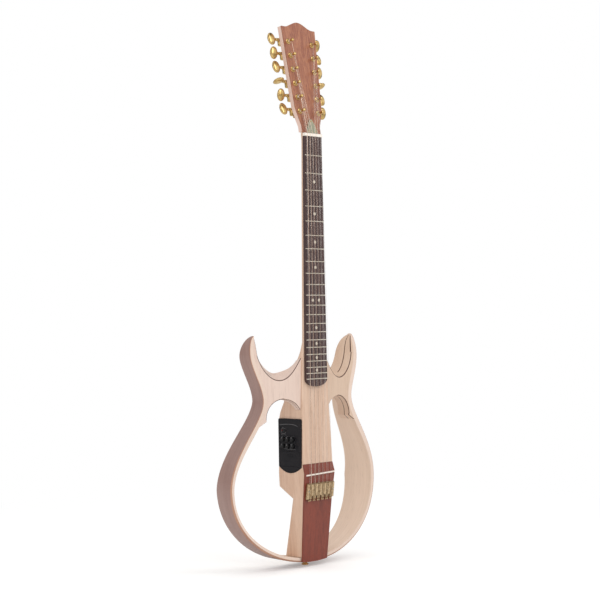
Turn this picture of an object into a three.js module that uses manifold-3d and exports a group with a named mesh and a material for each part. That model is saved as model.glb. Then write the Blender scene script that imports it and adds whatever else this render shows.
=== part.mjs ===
// Twelve-string silent guitar: a through-neck beam with two bent side frames in place of a hollow body.
//
// Millimetres, z up, the strings face -y and the treble side is +x. The pieces are placed from the middle
// of the nut's lower edge, on the top of the fingerboard, so z is negative below the nut. The last group
// moves that point up, so that the part's own origin is the middle of the end pin's outer face.

import * as THREE from "three";
import { mergeVertices } from "three/addons/utils/BufferGeometryUtils.js";
import Module from "manifold-3d";

const wasm = await Module();
wasm.setup();

// Clearances and cutting
const seatGap = 0.3; // left between two pieces that are glued, screwed or seated together
const slideGap = 0.4; // left round a piece that turns or slides
const overrun = 3; // how far a cutter runs past the face that it opens

// Neck, fingerboard and frets
const scaleLength = 648;
const fretCount = 22;
const semitonesPerOctave = 12;
const nutWidth = 47.6;
const nutLength = 6;
const nutRise = 0.7; // the nut's top over the fingerboard
const boardEndWidth = 59.5;
const boardLength = 481;
const boardThickness = 5.8;
const boardEndRound = 15;
const fretWidth = 2.4;
const fretHeight = 1.1;
const fretInset = 0.6;
const neckHeadEnd = 9; // the neck runs this far above the nut's lower edge, to the scarf joint
const neckNutDepth = 17.5; // from the top of the fingerboard to the neck's back
const neckHeelDepth = 21.5;
const trussRodWidth = 6;
const trussRodDepth = 7;
const trussRodLength = 440;
const trussNutRadius = 3;
const trussNutLength = 14;
const trussPocketLength = 15;

// Headstock and its cover
const headTilt = THREE.MathUtils.degToRad(9);
const headFaceDepth = 3; // the face plane's depth below the fingerboard, at the nut
const headLength = 214;
const headCrest = 11.8; // the rounded crest above the shoulders of the head
const headTopWidth = 92.4;
const headLowWidth = 73.6;
const headThroatWidth = 50;
const headThroatLevel = 20;
const headLowLevel = 56;
const headThickness = 10.5;
const veneerThickness = 1.5;
const trussCoverWidth = 28;
const trussCoverLength = 27;
const trussCoverThickness = 1.6;

// Tuning machines
const tunersPerSide = 6;
const tunerPitch = 27.3;
const firstTunerLevel = 48;
const lowPostOffset = 25.5; // from the middle of the head to the lowest post
const topPostOffset = 32.7;
const postRadius = 3;
const postHeight = 14; // above the face
const postWaistRadius = 2.2;
const postWaistFrom = 2.5; // height of the waist above the face
const postWaistTo = 9.5;
const stringLevel = 6.5; // height of the windings above the face
const lowStringLevel = 3.4; // the same on the lowest posts, which the next strings pass
const bushingRadius = 4.4;
const bushingFlangeRadius = 5.6;
const bushingFlangeThickness = 1.6;
const wheelRadius = 3.9;
const wheelThickness = 3.4;
const wormRadius = 2.1;
const wormLength = 8;
const keyShaftRadius = 1.6;
const keyAxisDepth = 15.4; // behind the face
const keyCollarRadius = 3;
const keyKnobLength = 18;
const keyKnobWidth = 24;
const keyKnobThickness = 7.5;
const keyKnobBevel = 2.2;
const keyKnobReach = 8.5; // from the head's edge to the knob's near end
const housingWall = 1.2;
const housingInset = 1; // the housing ends this far inside the head's edge
const housingNose = 2.6; // the bearing nose on the key's side
const housingNoseRadius = 3.4;
const stripThickness = 1.2;
const stripInset = 2.2;
const stripEnd = 11; // how far the strip runs past the outer posts

// Centre beam, from the heel to the tail
const heelTopLevel = 395;
const beamTopHalf = 34.5;
const beamTopLevel = 428;
const beamBoardEndHalf = 35.8;
const beamPreampHalf = 38.6;
const beamBridgeHalf = 40.8;
const beamSaddleHalf = 41.8;
const beamTailpieceHalf = 39.4;
const beamTailHalf = 35;
const beamDepth = 70; // from the top of the fingerboard to the beam's back
const beamNeckRound = 5; // radius of the beam's rear corners
const beamStepTop = 676;
const beamStepLow = 698;
const beamStepDepth = 34.5;
const tailBeamDepth = 63;

// Red plate over the bridge and the tail
const plateTop = 630;
const ridgeLevel = 648;
const plateTopFront = 0.9;
const ridgeFront = -3.9;
const tailpieceLowFront = 2.4;
const tailFront = 13.9;
const plateThickness = 2.8;

// Bridge hardware
const saddleLength = 78.4;
const saddleThickness = 2.8;
const saddleSetback = 2; // the saddle's middle lies this far below the ridge
const saddleOffset = 0.8; // the saddle's middle lies this far to the treble side
const saddleSlant = 2.4; // the bass end lies this much lower than the treble end
const saddleTop = -6.5;
const saddleDepth = 7.5;
const saddleRound = 0.8;
const piezoThickness = 1.4;
const tailpieceWidth = 75;
const tailpieceTop = 667;
const tailpieceLow = 698;
const tailpieceThickness = 6;
const tailpieceBevel = 2.5;
const grooveWidth = 1.9;
const grooveDepth = 3;
const notchWidth = 3.4;
const notchHeight = 6.5;
const ballRadius = 1.9;
const ballLength = 2.7;
const tailScrewRadius = 2;
const tailScrewLength = 12;
const tailScrewOffset = 29; // from the middle of the tailpiece

// Strings, bass to treble, in six pairs
const courses = 6;
const nutSpread = 40.5;
const saddleSpread = 62;
const nutPairGap = 2.2;
const saddlePairGap = 3.6;
const heaviestString = 0.62; // radius of the lowest string
const stringRadiusShares = [0.26, 1, 0.28, 0.78, 0.3, 0.58, 0.24, 0.46, 0.3, 0.3, 0.24, 0.24];
const woundStrings = [1, 3, 5, 7];
const stringSides = 6;

// Side frames
const frameCamber = 17; // how much further back the widest place lies
const hornSweep = 9; // how much the horns lean back above hornSweepLevel
const hornSweepLevel = 480;
const hornTip = { half: 136, level: 381 };
const hornBulge = { half: 149, level: 416 };
const waist = { half: 123.5, level: 505 };
const bout = { half: 201, level: 671 };
const tail = { half: 0, level: 823 };
const hornDepth = 41;
const waistDepth = 38;
const boutDepth = 60;
const tailDepth = 54;
const hornRoundLength = 50;
const hornTipDepth = 7;
const cantShare = 0.09; // how much narrower the frames are at the back
const frameThickness = 10.5;
const frameStations = 72;

// Shoulder plates
const shoulderThickness = 30;
const shoulderBeamFront = 9; // depth of the plate's front below the fingerboard, beside the beam
const hollowLevel = 424; // where the horn's inner side stands upright
const hollowBeamGap = 1.6; // from the beam to the hollow's inner end
// Edges of the hollow. fall: from the top of the beam's straight part down to the edge's inner end;
// drop: from hollowLevel to the deepest place; reach: from there out to the horn; horn: from the
// horn's inner side to the frame; tip: the same near the tip.
const hollowFront = { fall: 0, drop: 43, reach: 52, horn: 2.3, tip: 2.5 };
const hollowRear = { fall: 9, drop: 29.2, reach: 34, horn: 32.3, tip: 14 };
const archLevel = 541;
const spurWidth = 12.5; // from the arch's outer end to the frame
const archInner = 44;
const archOuter = 38.5;
const archRise = 38;

// End pin jack
const endPinDepth = 41;
const endPinFlangeRadius = 7;
const endPinFlangeThickness = 2.4;
const endPinNeckRadius = 4.6;
const endPinHeight = 8.8; // below the tail of the frame
const endPinBarrelRadius = 6;
const endPinBarrelLength = 34;
const jackBoreRadius = 3.3;
const jackBoreDepth = 33;

// Preamp in the bass side of the beam
const panelFront = 5.6; // the panel's edge nearest to the strings
const panelBack = 67;
const panelTop = 543;
const panelSideLow = 636;
const panelLow = 648;
const panelCorner = 3;
const panelSeat = 38.2; // distance of the panel's seat from the middle of the beam
const panelThickness = 3.4;
const caseWall = 1.6;
const caseDepth = 30;
const caseTop = 550;
const caseLow = 637.5;
const boardSetback = 9;
const circuitThickness = 1.6;
const controlBody = 4.6; // half the width of a control's body on the board
const controlBodyHeight = 5;
const knobRadius = 4.7;
const knobHeight = 5;
const knobStemRadius = 2.6;
const knobMarkWidth = 0.9;
const knobMarkDepth = 0.7;
const knobColumns = [27, 40, 53];
const knobRows = [582.5, 596];
const buttonAt = { y: 49.5, level: 566 };
const buttonRadius = 2.7;
const buttonProud = 1.6;
const buttonTravel = 0.8;
const buttonFlange = 1.2;
const drawerTop = 606.5;
const drawerLow = 635.5;
const drawerFront = 10;
const drawerBack = 63.4;
const drawerWall = 1.2;
const batteryLength = 48.5;
const batteryWidth = 26;
const batteryThickness = 17.5;

// Helpers

// A closed geometry becomes a solid that can be cut and joined.
function solid(geometry) {
  const bare = geometry.clone();
  bare.deleteAttribute("normal");
  bare.deleteAttribute("uv");
  const merged = mergeVertices(bare, 1e-4);
  return new wasm.Manifold(new wasm.Mesh({
    numProp: 3,
    vertProperties: Float32Array.from(merged.attributes.position.array),
    triVerts: Uint32Array.from(merged.index.array),
  }));
}

function geometryOf(body) {
  const mesh = body.getMesh();
  const geometry = new THREE.BufferGeometry();
  geometry.setAttribute("position", new THREE.BufferAttribute(Float32Array.from(mesh.vertProperties), 3));
  geometry.setIndex(Array.from(mesh.triVerts));
  return geometry;
}

function cut(geometry, ...tools) {
  return geometryOf(tools.reduce((body, tool) => body.subtract(solid(tool)), solid(geometry)));
}

function join(...geometries) {
  return geometryOf(geometries.map(solid).reduce((body, next) => body.add(next)));
}

function common(first, second) {
  return geometryOf(solid(first).intersect(solid(second)));
}

// The other hand of a piece
function mirrored(geometry) {
  const other = mergeVertices(geometry.clone().scale(-1, 1, 1));
  const corners = Array.from(other.index.array);
  for (let i = 0; i < corners.length; i += 3) {
    [corners[i + 1], corners[i + 2]] = [corners[i + 2], corners[i + 1]];
  }
  other.setIndex(corners);
  return other;
}

function box(x, y, z) {
  const geometry = new THREE.BoxGeometry(x[1] - x[0], y[1] - y[0], z[1] - z[0]);
  return geometry.translate((x[0] + x[1]) / 2, (y[0] + y[1]) / 2, (z[0] + z[1]) / 2);
}

// An outline pushed along an axis. The outline's two coordinates are (y, z) along x, (x, z) along y
// and (x, y) along z.
const prismBases = {
  x: [new THREE.Vector3(0, 1, 0), new THREE.Vector3(0, 0, 1), new THREE.Vector3(1, 0, 0)],
  y: [new THREE.Vector3(1, 0, 0), new THREE.Vector3(0, 0, 1), new THREE.Vector3(0, -1, 0)],
  z: [new THREE.Vector3(1, 0, 0), new THREE.Vector3(0, 1, 0), new THREE.Vector3(0, 0, 1)],
};

function prism(axis, shape, from, to, curveSegments = 12) {
  const geometry = new THREE.ExtrudeGeometry(shape, { depth: to - from, bevelEnabled: false, curveSegments });
  geometry.applyMatrix4(new THREE.Matrix4().makeBasis(...prismBases[axis]));
  if (axis === "x") return geometry.translate(from, 0, 0);
  if (axis === "y") return geometry.translate(0, to, 0);
  return geometry.translate(0, 0, from);
}

function polygon(points) {
  return new THREE.Shape(points.map(([a, b]) => new THREE.Vector2(a, b)));
}

// A turned piece: the profile is [radius, distance] pairs along the axis, the first and last on the axis.
function turned(axis, profile, sides = 12) {
  const lathe = new THREE.LatheGeometry(profile.map(([r, d]) => new THREE.Vector2(r, d)), sides);
  const geometry = facingOut(lathe);
  if (axis === "x") geometry.rotateZ(-Math.PI / 2);
  if (axis === "-x") geometry.rotateZ(Math.PI / 2);
  if (axis === "z") geometry.rotateX(Math.PI / 2);
  if (axis === "-y") geometry.rotateX(Math.PI);
  return geometry;
}

function rod(axis, radius, from, to, sides = 12) {
  return turned(axis, [[0, from], [radius, from], [radius, to], [0, to]], sides);
}

// A skin through rings with the same number of points, closed by a fan of triangles at each end
function loft(rings) {
  const size = rings[0].length;
  const positions = rings.flat().flatMap((p) => [p.x, p.y, p.z]);
  const corners = [];
  for (let i = 0; i + 1 < rings.length; i++) {
    for (let j = 0; j < size; j++) {
      const a = i * size + j;
      const b = i * size + ((j + 1) % size);
      corners.push(a, b, a + size, b, b + size, a + size);
    }
  }
  const last = (rings.length - 1) * size;
  for (let j = 1; j + 1 < size; j++) {
    corners.push(0, j + 1, j, last, last + j, last + j + 1);
  }
  const geometry = new THREE.BufferGeometry();
  geometry.setAttribute("position", new THREE.Float32BufferAttribute(positions, 3));
  geometry.setIndex(corners);
  return facingOut(geometry);
}

// Turns the faces of a closed geometry over when they point inwards.
function facingOut(geometry) {
  const at = geometry.attributes.position;
  const index = geometry.index.array;
  const [a, b, c] = [new THREE.Vector3(), new THREE.Vector3(), new THREE.Vector3()];
  let volume = 0;
  for (let i = 0; i < index.length; i += 3) {
    a.fromBufferAttribute(at, index[i]);
    b.fromBufferAttribute(at, index[i + 1]);
    c.fromBufferAttribute(at, index[i + 2]);
    volume += a.dot(b.cross(c));
  }
  if (volume < 0) geometry.setIndex(Array.from(index).reverse());
  return geometry;
}

// A body between two outlines with matching points, such as a plate whose edge slants
function between(front, rear) {
  const size = front.length;
  const flat = front.map((p) => new THREE.Vector2(p.x, p.z));
  if (THREE.ShapeUtils.isClockWise(flat)) return between([...front].reverse(), [...rear].reverse());
  const rearFlat = rear.map((p) => new THREE.Vector2(p.x, p.z));
  const corners = THREE.ShapeUtils.triangulateShape(flat, []).flat();
  for (const [a, b, c] of THREE.ShapeUtils.triangulateShape(rearFlat, [])) {
    corners.push(size + a, size + c, size + b);
  }
  for (let j = 0; j < size; j++) {
    const k = (j + 1) % size;
    corners.push(j, size + j, k, k, size + j, size + k);
  }
  const geometry = new THREE.BufferGeometry();
  const positions = [...front, ...rear].flatMap((p) => p.toArray());
  geometry.setAttribute("position", new THREE.Float32BufferAttribute(positions, 3));
  geometry.setIndex(corners);
  return facingOut(geometry);
}

// Materials
function finish(color, roughness, metalness = 0) {
  return new THREE.MeshStandardMaterial({ color, roughness, metalness });
}

const paleWood = finish(0xe4cbbe, 0.6);
const tanWood = finish(0xd2af96, 0.6);
const redWood = finish(0x8a4a3b, 0.55);
const headWood = finish(0xaa705c, 0.45);
const darkWood = finish(0x4b3737, 0.6);
const ivory = finish(0xf0e1d2, 0.5);
const pearl = finish(0xb4c2a8, 0.3);
const steel = finish(0xb8b4ac, 0.3, 1);
const bronze = finish(0xb08a5a, 0.35, 1);
const gold = finish(0xd0a545, 0.25, 1);
const brass = finish(0xa58c69, 0.35, 1);
const blackPlastic = finish(0x28282d, 0.5);
const circuitGreen = finish(0x2f5a3c, 0.6);
const cellGrey = finish(0x77777c, 0.5);

const guitar = new THREE.Group();
const head = new THREE.Group();
guitar.add(head);

function place(name, geometry, material, holder = guitar) {
  const piece = new THREE.Mesh(geometry, material);
  piece.name = name;
  holder.add(piece);
  return piece;
}

// Outlines of the neck and beam. A table row is [level below the nut, value].
function along(table, level) {
  const after = table.findIndex((row) => row[0] >= level);
  if (after === 0) return table[0][1];
  if (after < 0) return table[table.length - 1][1];
  const [[l0, v0], [l1, v1]] = [table[after - 1], table[after]];
  return THREE.MathUtils.mapLinear(level, l0, l1, v0, v1);
}

const boardSeat = boardThickness + seatGap;
const plateLevels = [plateTop, ridgeLevel, tailpieceLow, tail.level];
const plateFronts = [plateTopFront, ridgeFront, tailpieceLowFront, tailFront];
const plateFront = plateLevels.map((level, i) => [level, plateFronts[i]]);
const beamHalf = [
  [-neckHeadEnd, headThroatWidth / 2],
  [0, nutWidth / 2],
  [heelTopLevel, boardEndWidth / 2],
  [beamTopLevel, beamTopHalf],
  [boardLength, beamBoardEndHalf],
  [panelTop, beamPreampHalf],
  [plateTop, beamBridgeHalf],
  [ridgeLevel, beamSaddleHalf],
  [tailpieceLow, beamTailpieceHalf],
  [tail.level, beamTailHalf],
];
const beamFront = [
  [boardLength, boardSeat],
  [plateTop - seatGap, plateTopFront],
  ...plateFront.map(([level, front]) => [level, front + plateThickness + seatGap]),
];

// Where the heel's back curve passes, as shares of the way from the heel's top to the beam's full depth
const heelLevelShares = [0.12, 0.22, 0.3, 0.4, 0.58, 0.79, 0.92];
const heelDepthShares = [0.06, 0.16, 0.37, 0.55, 0.63, 0.77, 0.95];
const heelRoundShares = [0.85, 0.65, 0.5, 0.38, 0.25, 0.15, 0.1];
const headEndRoundShare = 0.75;
const neckRoundShare = 0.97;
const neckRoundSteps = 5;
const heelLevels = heelLevelShares.map((share) => THREE.MathUtils.lerp(heelTopLevel, panelTop, share));
const heelDepths = heelDepthShares.map((share) => THREE.MathUtils.lerp(neckHeelDepth, beamDepth, share));
const beamBack = [
  [-neckHeadEnd, neckNutDepth - 2 * neckHeadEnd * Math.tan(headTilt)],
  [0, neckNutDepth],
  [heelTopLevel, neckHeelDepth],
  ...heelLevels.map((level, i) => [level, heelDepths[i]]),
  [panelTop, beamDepth],
  [beamStepTop, beamDepth],
  [beamStepLow, beamStepDepth],
  [tail.level, tailBeamDepth],
];
const beamRound = [
  [-neckHeadEnd, headEndRoundShare],
  [neckHeadEnd, neckRoundShare],
  [heelTopLevel, neckRoundShare],
  ...heelLevels.map((level, i) => [level, heelRoundShares[i]]),
  [panelTop, 0],
];

// One section of the neck or beam: a flat front and rounded rear corners
function beamRing(level) {
  const half = along(beamHalf, level);
  const front = along(beamFront, level);
  const back = along(beamBack, level);
  const share = along(beamRound, level);
  const roundX = Math.max(beamNeckRound, share * half);
  const roundY = Math.max(beamNeckRound, share * (back - front));
  const side = [[half, front]];
  for (let i = 0; i <= neckRoundSteps; i++) {
    const turn = (i / neckRoundSteps) * (Math.PI / 2);
    side.push([half - roundX + roundX * Math.cos(turn), back - roundY + roundY * Math.sin(turn)]);
  }
  const ring = [...side, ...side.map(([x, y]) => [-x, y]).reverse()];
  const squareEnd = level < 0; // the end at the scarf joint stands square to the head
  return ring.map(([x, y]) => {
    const lean = (y - headFaceDepth) * Math.tan(headTilt);
    return new THREE.Vector3(x, y, squareEnd ? -level / Math.cos(headTilt) - lean : -level);
  });
}

// Side frames: the outline of one, from the tip of its horn round the waist and the bout to the tail
function bezier(...points) {
  return new THREE.CubicBezierCurve(...points.map(([x, z]) => new THREE.Vector2(x, z)));
}

const hornOutShare = 0.55;
const hornOutDropShare = 0.05;
const hornUpShare = 0.45;
const neckCurveShares = [0.35, 0.3];
const boutCurveShares = [0.24, 0.42];
const tailCurveShares = [0.59, 0.56];

function framePath() {
  const at = (spot, rise = 0) => [spot.half, rise - spot.level];
  const hornReach = hornBulge.half - hornTip.half;
  const hornDrop = hornBulge.level - hornTip.level;
  const waistDrop = waist.level - hornBulge.level;
  const boutDrop = bout.level - waist.level;
  const tailDrop = tail.level - bout.level;
  const hornHandle = [hornTip.half + hornOutShare * hornReach, -hornTip.level - hornOutDropShare * hornDrop];
  const tailHandle = [tailCurveShares[1] * bout.half, -tail.level];
  const path = new THREE.CurvePath();
  path.add(bezier(at(hornTip), hornHandle, at(hornBulge, hornUpShare * hornDrop), at(hornBulge)));
  path.add(bezier(
    at(hornBulge),
    at(hornBulge, -neckCurveShares[0] * waistDrop),
    at(waist, neckCurveShares[1] * waistDrop),
    at(waist),
  ));
  path.add(bezier(
    at(waist),
    at(waist, -boutCurveShares[0] * boutDrop),
    at(bout, boutCurveShares[1] * boutDrop),
    at(bout),
  ));
  path.add(bezier(at(bout), at(bout, -tailCurveShares[0] * tailDrop), tailHandle, at(tail)));
  return path;
}

const outline = framePath();
const halvings = 30;

// How far a frame's inner face stands from the middle at a level below the nut
function frameInside(level) {
  let [above, below] = [0, 1];
  for (let i = 0; i < halvings; i++) {
    const share = (above + below) / 2;
    if (-outline.getPointAt(share).y < level) above = share;
    else below = share;
  }
  return outline.getPointAt(above).x - frameThickness;
}

const frameFront = tailFront + plateThickness + seatGap; // front edge at the middle of the tail
const frameDepths = [
  [hornBulge.level, hornDepth],
  [waist.level, waistDepth],
  [bout.level, boutDepth],
  [tail.level, tailDepth],
];
const hornRoundPower = 0.8;
const hornSweepPower = 1.5;

// Depth of a frame from front to back, which shrinks towards the tip of the horn
function frameDepthAt(z) {
  const full = along(frameDepths, -z);
  const past = THREE.MathUtils.clamp(1 - (-z - hornTip.level) / hornRoundLength, 0, 1);
  return THREE.MathUtils.lerp(hornTipDepth, full, (1 - past ** 2) ** hornRoundPower);
}

// The cambered front of the frames
function frontAt(x, z) {
  const lean = Math.max(0, (z + hornSweepLevel) / (hornSweepLevel - hornTip.level));
  return frameFront + frameCamber * (x / bout.half) ** 2 + hornSweep * lean ** hornSweepPower;
}

// A point of a frame: the share of the way from horn to tail, the distance in from the outer face, and
// the distance back from the front edge
function frameSpot(share, inset, back) {
  const at = outline.getPointAt(share);
  const tangent = outline.getTangentAt(share);
  const x = (at.x + tangent.y * inset) * (1 - (cantShare * back) / boutDepth);
  return new THREE.Vector3(Math.max(seatGap / 2, x), frontAt(at.x, at.y) + back, at.y - tangent.x * inset);
}

// The same with the distance back as a share of the depth
function framePoint(share, inset, depthShare) {
  return frameSpot(share, inset, depthShare * frameDepthAt(outline.getPointAt(share).y));
}

function frameStrip(stations) {
  const rings = [];
  for (let i = 0; i <= stations; i++) {
    const corners = [[0, 0], [frameThickness, 0], [frameThickness, 1], [0, 1]];
    rings.push(corners.map(([inset, depthShare]) => framePoint(i / stations, inset, depthShare)));
  }
  return loft(rings);
}

// Everything inside a line that follows the frames round the tail
const tailLineFrom = 0.6;
const tailLineSteps = 24;

function insideTail(inset, depthShare) {
  const side = [];
  for (let i = 0; i <= tailLineSteps; i++) {
    const share = THREE.MathUtils.lerp(tailLineFrom, 1, i / tailLineSteps);
    const point = framePoint(share, inset, depthShare);
    side.push([point.x, point.z]);
  }
  side[tailLineSteps][0] = 0;
  side.unshift([side[0][0], headLength]);
  const points = [...side, ...side.slice(0, -1).map(([x, z]) => [-x, z]).reverse()];
  return prism("y", polygon(points), -bout.half, bout.half);
}

const endPinSides = 16;
const endPinHole = rod(
  "z",
  endPinBarrelRadius + seatGap,
  -tail.level - overrun,
  endPinBarrelLength + overrun - tail.level,
  endPinSides,
).translate(0, endPinDepth, 0);
const frameSolid = frameStrip(frameStations);
place("treble_frame", cut(frameSolid, endPinHole), paleWood);
place("bass_frame", cut(mirrored(frameSolid), endPinHole), paleWood);

// Shoulder plates: from the beam to the inside of a frame, hollowed above for the player's hand
function arc(centre, halfWidth, height, from, to, steps) {
  const points = [];
  for (let i = 0; i <= steps; i++) {
    const turn = THREE.MathUtils.degToRad(THREE.MathUtils.lerp(from, to, i / steps));
    points.push([centre.x + halfWidth * Math.cos(turn), height * Math.sin(turn) - centre.level]);
  }
  return points;
}

const archCuspShare = 0.08; // the cusp beside the arch, as a share of the arch's rise
const shoulderSteps = 10;
const shoulderStations = [2, 22]; // where the plate meets the frame, counted in the frame's stations
const hornTipShare = shoulderStations[0] / frameStations; // where the horn's inner side ends
const archCentre = { x: frameInside(archLevel) - spurWidth - archOuter, level: archLevel };

// How far behind its front the plate's rear face or front face lies: it thins with the frame at the tip
function shoulderBack(depthShare, z) {
  return depthShare * shoulderThickness * (frameDepthAt(z) / along(frameDepths, -z));
}

// Corners of the plate's front or rear face: each is [x, z], from the beam round by the horn
function shoulderOutline(edgeLine, depthShare) {
  const beamEdge = (z) => [along(beamHalf, -z) + seatGap, z];
  const middle = frameInside(hollowLevel) - edgeLine.horn - edgeLine.reach;
  const start = beamTopLevel + edgeLine.fall;
  const innerReach = middle - along(beamHalf, start) - hollowBeamGap;
  const innerDrop = hollowLevel + edgeLine.drop - start;
  const inner = arc({ x: middle, level: start }, innerReach, innerDrop, 180, 270, shoulderSteps).slice(1);
  const deepest = { x: middle, level: hollowLevel };
  const outer = arc(deepest, edgeLine.reach, edgeLine.drop, 270, 360, shoulderSteps).slice(1);
  const arch = arc(archCentre, archOuter, archRise, 0, 90, shoulderSteps);
  const archBeam = arc(archCentre, archInner, archRise, 90, 180, shoulderSteps).slice(1);
  const clear = archBeam.filter(([x, z]) => x > beamEdge(z)[0] + 2 * seatGap);
  const tipBack = shoulderBack(depthShare, outline.getPointAt(hornTipShare).y);
  const hornEnd = frameSpot(hornTipShare, frameThickness + edgeLine.tip, tipBack);
  const edge = [];
  for (let i = shoulderStations[0]; i <= shoulderStations[1]; i++) {
    const back = shoulderBack(depthShare, outline.getPointAt(i / frameStations).y);
    const point = frameSpot(i / frameStations, frameThickness + seatGap, back);
    edge.push([point.x, point.z]);
  }
  return [
    beamEdge(archBeam[clear.length][1]),
    beamEdge(-boardLength),
    beamEdge(-start),
    ...inner,
    ...outer,
    [hornEnd.x, hornEnd.z],
    ...edge,
    [archCentre.x + archOuter, -archCentre.level - archCuspShare * archRise],
    ...arch,
    ...clear,
  ];
}

// The plate's front swings from beside the beam's front down to the front of the frame
function shoulderFront(x, z) {
  const beamSide = along(beamHalf, -z);
  const reach = THREE.MathUtils.clamp((x - beamSide) / (frameInside(-z) - beamSide), 0, 1);
  return THREE.MathUtils.lerp(shoulderBeamFront, frontAt(x, z), Math.sin((reach * Math.PI) / 2));
}

function shoulderFace(edgeLine, depthShare) {
  return shoulderOutline(edgeLine, depthShare).map(([x, z]) => (
    new THREE.Vector3(x, shoulderFront(x, z) + shoulderBack(depthShare, z), z)
  ));
}

const shoulder = between(shoulderFace(hollowFront, 0), shoulderFace(hollowRear, 1));
place("treble_shoulder", shoulder, paleWood);
place("bass_shoulder", mirrored(shoulder), paleWood);

// Red plate: a ridge under the saddle, then a slope down to the tail
const saddleLevel = ridgeLevel + saddleSetback;
const saddleMiddle = new THREE.Vector3(saddleOffset, 0, -saddleLevel);

function saddleBlock(grow, front, back) {
  const half = saddleThickness / 2 + grow;
  const block = box(
    [-saddleLength / 2 - grow, saddleLength / 2 + grow],
    [front, back],
    [-half, half],
  );
  return block.rotateY(-Math.atan2(saddleSlant, saddleLength)).translate(saddleMiddle.x, 0, saddleMiddle.z);
}

const saddleBack = saddleTop + saddleDepth;
const piezoBack = saddleBack + seatGap + piezoThickness;
const saddleSlot = saddleBlock(seatGap, saddleTop - overrun, piezoBack + seatGap);
const plateRings = plateLevels.map((level, i) => {
  const half = along(beamHalf, level);
  const corners = [[-half, 0], [half, 0], [half, plateThickness], [-half, plateThickness]];
  return corners.map(([x, back]) => new THREE.Vector3(x, plateFronts[i] + back, -level));
});

// Fixing studs of the tailpiece, one at each end
const tailpieceSlope = (tailpieceLowFront - ridgeFront) / (tailpieceLow - ridgeLevel);
const tailpieceMiddle = (tailpieceTop + tailpieceLow) / 2;

function plateFrontAt(level) {
  return along(plateFront, level);
}

function tailStuds(radius, length) {
  const seat = plateFrontAt(tailpieceMiddle);
  const stud = rod("y", radius, seat - tailpieceThickness / 2, seat + length, 10);
  const offsets = [-tailScrewOffset, tailScrewOffset];
  return join(...offsets.map((x) => stud.clone().translate(x, 0, -tailpieceMiddle)));
}

const studHoles = tailStuds(tailScrewRadius + seatGap, tailScrewLength + seatGap);
const plate = common(loft(plateRings), insideTail(seatGap, 0));
place("tail_plate", cut(plate, saddleSlot, studHoles), redWood);

// Preamp: everything is placed from its outer face in the bass side of the beam
const panelFace = -panelSeat - panelThickness;
const drawerMiddle = (drawerFront + drawerBack) / 2;
const trayHalf = batteryLength / 2 + seatGap + drawerWall;
const caseHalf = trayHalf + slideGap + caseWall;
const caseBox = (grow) => [
  [-panelSeat - grow, caseDepth - panelSeat + grow],
  [drawerMiddle - caseHalf - grow, drawerMiddle + caseHalf + grow],
  [-caseLow - grow, -caseTop + grow],
];

function panelOutline(grow) {
  const [front, back] = [panelFront - grow, panelBack + grow];
  const [top, side] = [grow - panelTop, -panelSideLow - grow];
  const shape = new THREE.Shape();
  shape.moveTo(front + panelCorner, top);
  shape.quadraticCurveTo(front, top, front, top - panelCorner);
  shape.lineTo(front, side);
  shape.quadraticCurveTo((front + back) / 2, -2 * (panelLow + grow) - side, back, side);
  shape.lineTo(back, top - panelCorner);
  shape.quadraticCurveTo(back, top, back - panelCorner, top);
  shape.closePath();
  return shape;
}

const panelPocket = prism("x", panelOutline(seatGap), -bout.half, seatGap - panelSeat, 6);

// Neck and beam
const beamStations = [beamHalf, beamFront, beamBack, beamRound].flat().map(([level]) => level);
const leastStep = seatGap / 2;
const beamLevels = [...new Set(beamStations)]
  .sort((a, b) => a - b)
  .filter((level, i, all) => i === 0 || level - all[i - 1] > leastStep);
const rodFront = boardSeat;
const rodBack = rodFront + trussRodDepth;
const trussChannel = box(
  [-trussRodWidth / 2 - seatGap, trussRodWidth / 2 + seatGap],
  [rodFront - overrun, rodBack + seatGap],
  [-trussRodLength - seatGap, trussNutLength + overrun],
);
const beamSolid = common(loft(beamLevels.map(beamRing)), insideTail(frameThickness + seatGap, 1));
place(
  "neck_beam",
  cut(beamSolid, trussChannel, panelPocket, box(...caseBox(seatGap)), saddleSlot, studHoles, endPinHole),
  tanWood,
);

const rodMiddle = (rodFront + rodBack) / 2;
const trussBar = box([-trussRodWidth / 2, trussRodWidth / 2], [rodFront, rodBack], [-trussRodLength, 0]);
const trussNut = rod("z", trussNutRadius, -trussNutRadius, trussNutLength, 6).translate(0, rodMiddle, 0);
place("truss_rod", join(trussBar, trussNut), steel);

// Fingerboard with its frets
function boardOutline() {
  const [top, low] = [nutWidth / 2, boardEndWidth / 2];
  const straight = boardEndRound - boardLength;
  const shape = new THREE.Shape();
  shape.moveTo(-top, -seatGap);
  shape.lineTo(-low, straight);
  shape.absellipse(0, straight, low, boardEndRound, Math.PI, 2 * Math.PI, false, 0);
  shape.lineTo(top, -seatGap);
  shape.closePath();
  return shape;
}

const fretSeatShare = 0.3; // how far a fret's foot sits in the board, as a share of the board's thickness
const fretCrownShare = 0.25;

function fret(level) {
  const half = THREE.MathUtils.lerp(nutWidth, boardEndWidth, level / boardLength) / 2 - fretInset;
  const [crown, foot] = [fretCrownShare * fretWidth, fretWidth / 2];
  const section = polygon([
    [fretSeatShare * boardThickness, foot - level],
    [0, foot - level],
    [-fretHeight, crown - level],
    [-fretHeight, -crown - level],
    [0, -foot - level],
    [fretSeatShare * boardThickness, -foot - level],
  ]);
  return prism("x", section, -half, half);
}

const fretNumbers = Array.from({ length: fretCount }, (_, i) => i + 1);
const fretLevels = fretNumbers.map((number) => scaleLength * (1 - 2 ** (-number / semitonesPerOctave)));
const frets = fretLevels.filter((level) => level + fretWidth < boardLength).map(fret);
place("fingerboard", join(prism("y", boardOutline(), 0, boardThickness), ...frets), darkWood);
place("nut", box([-nutWidth / 2, nutWidth / 2], [-nutRise, boardThickness], [0, nutLength]), ivory);

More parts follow.
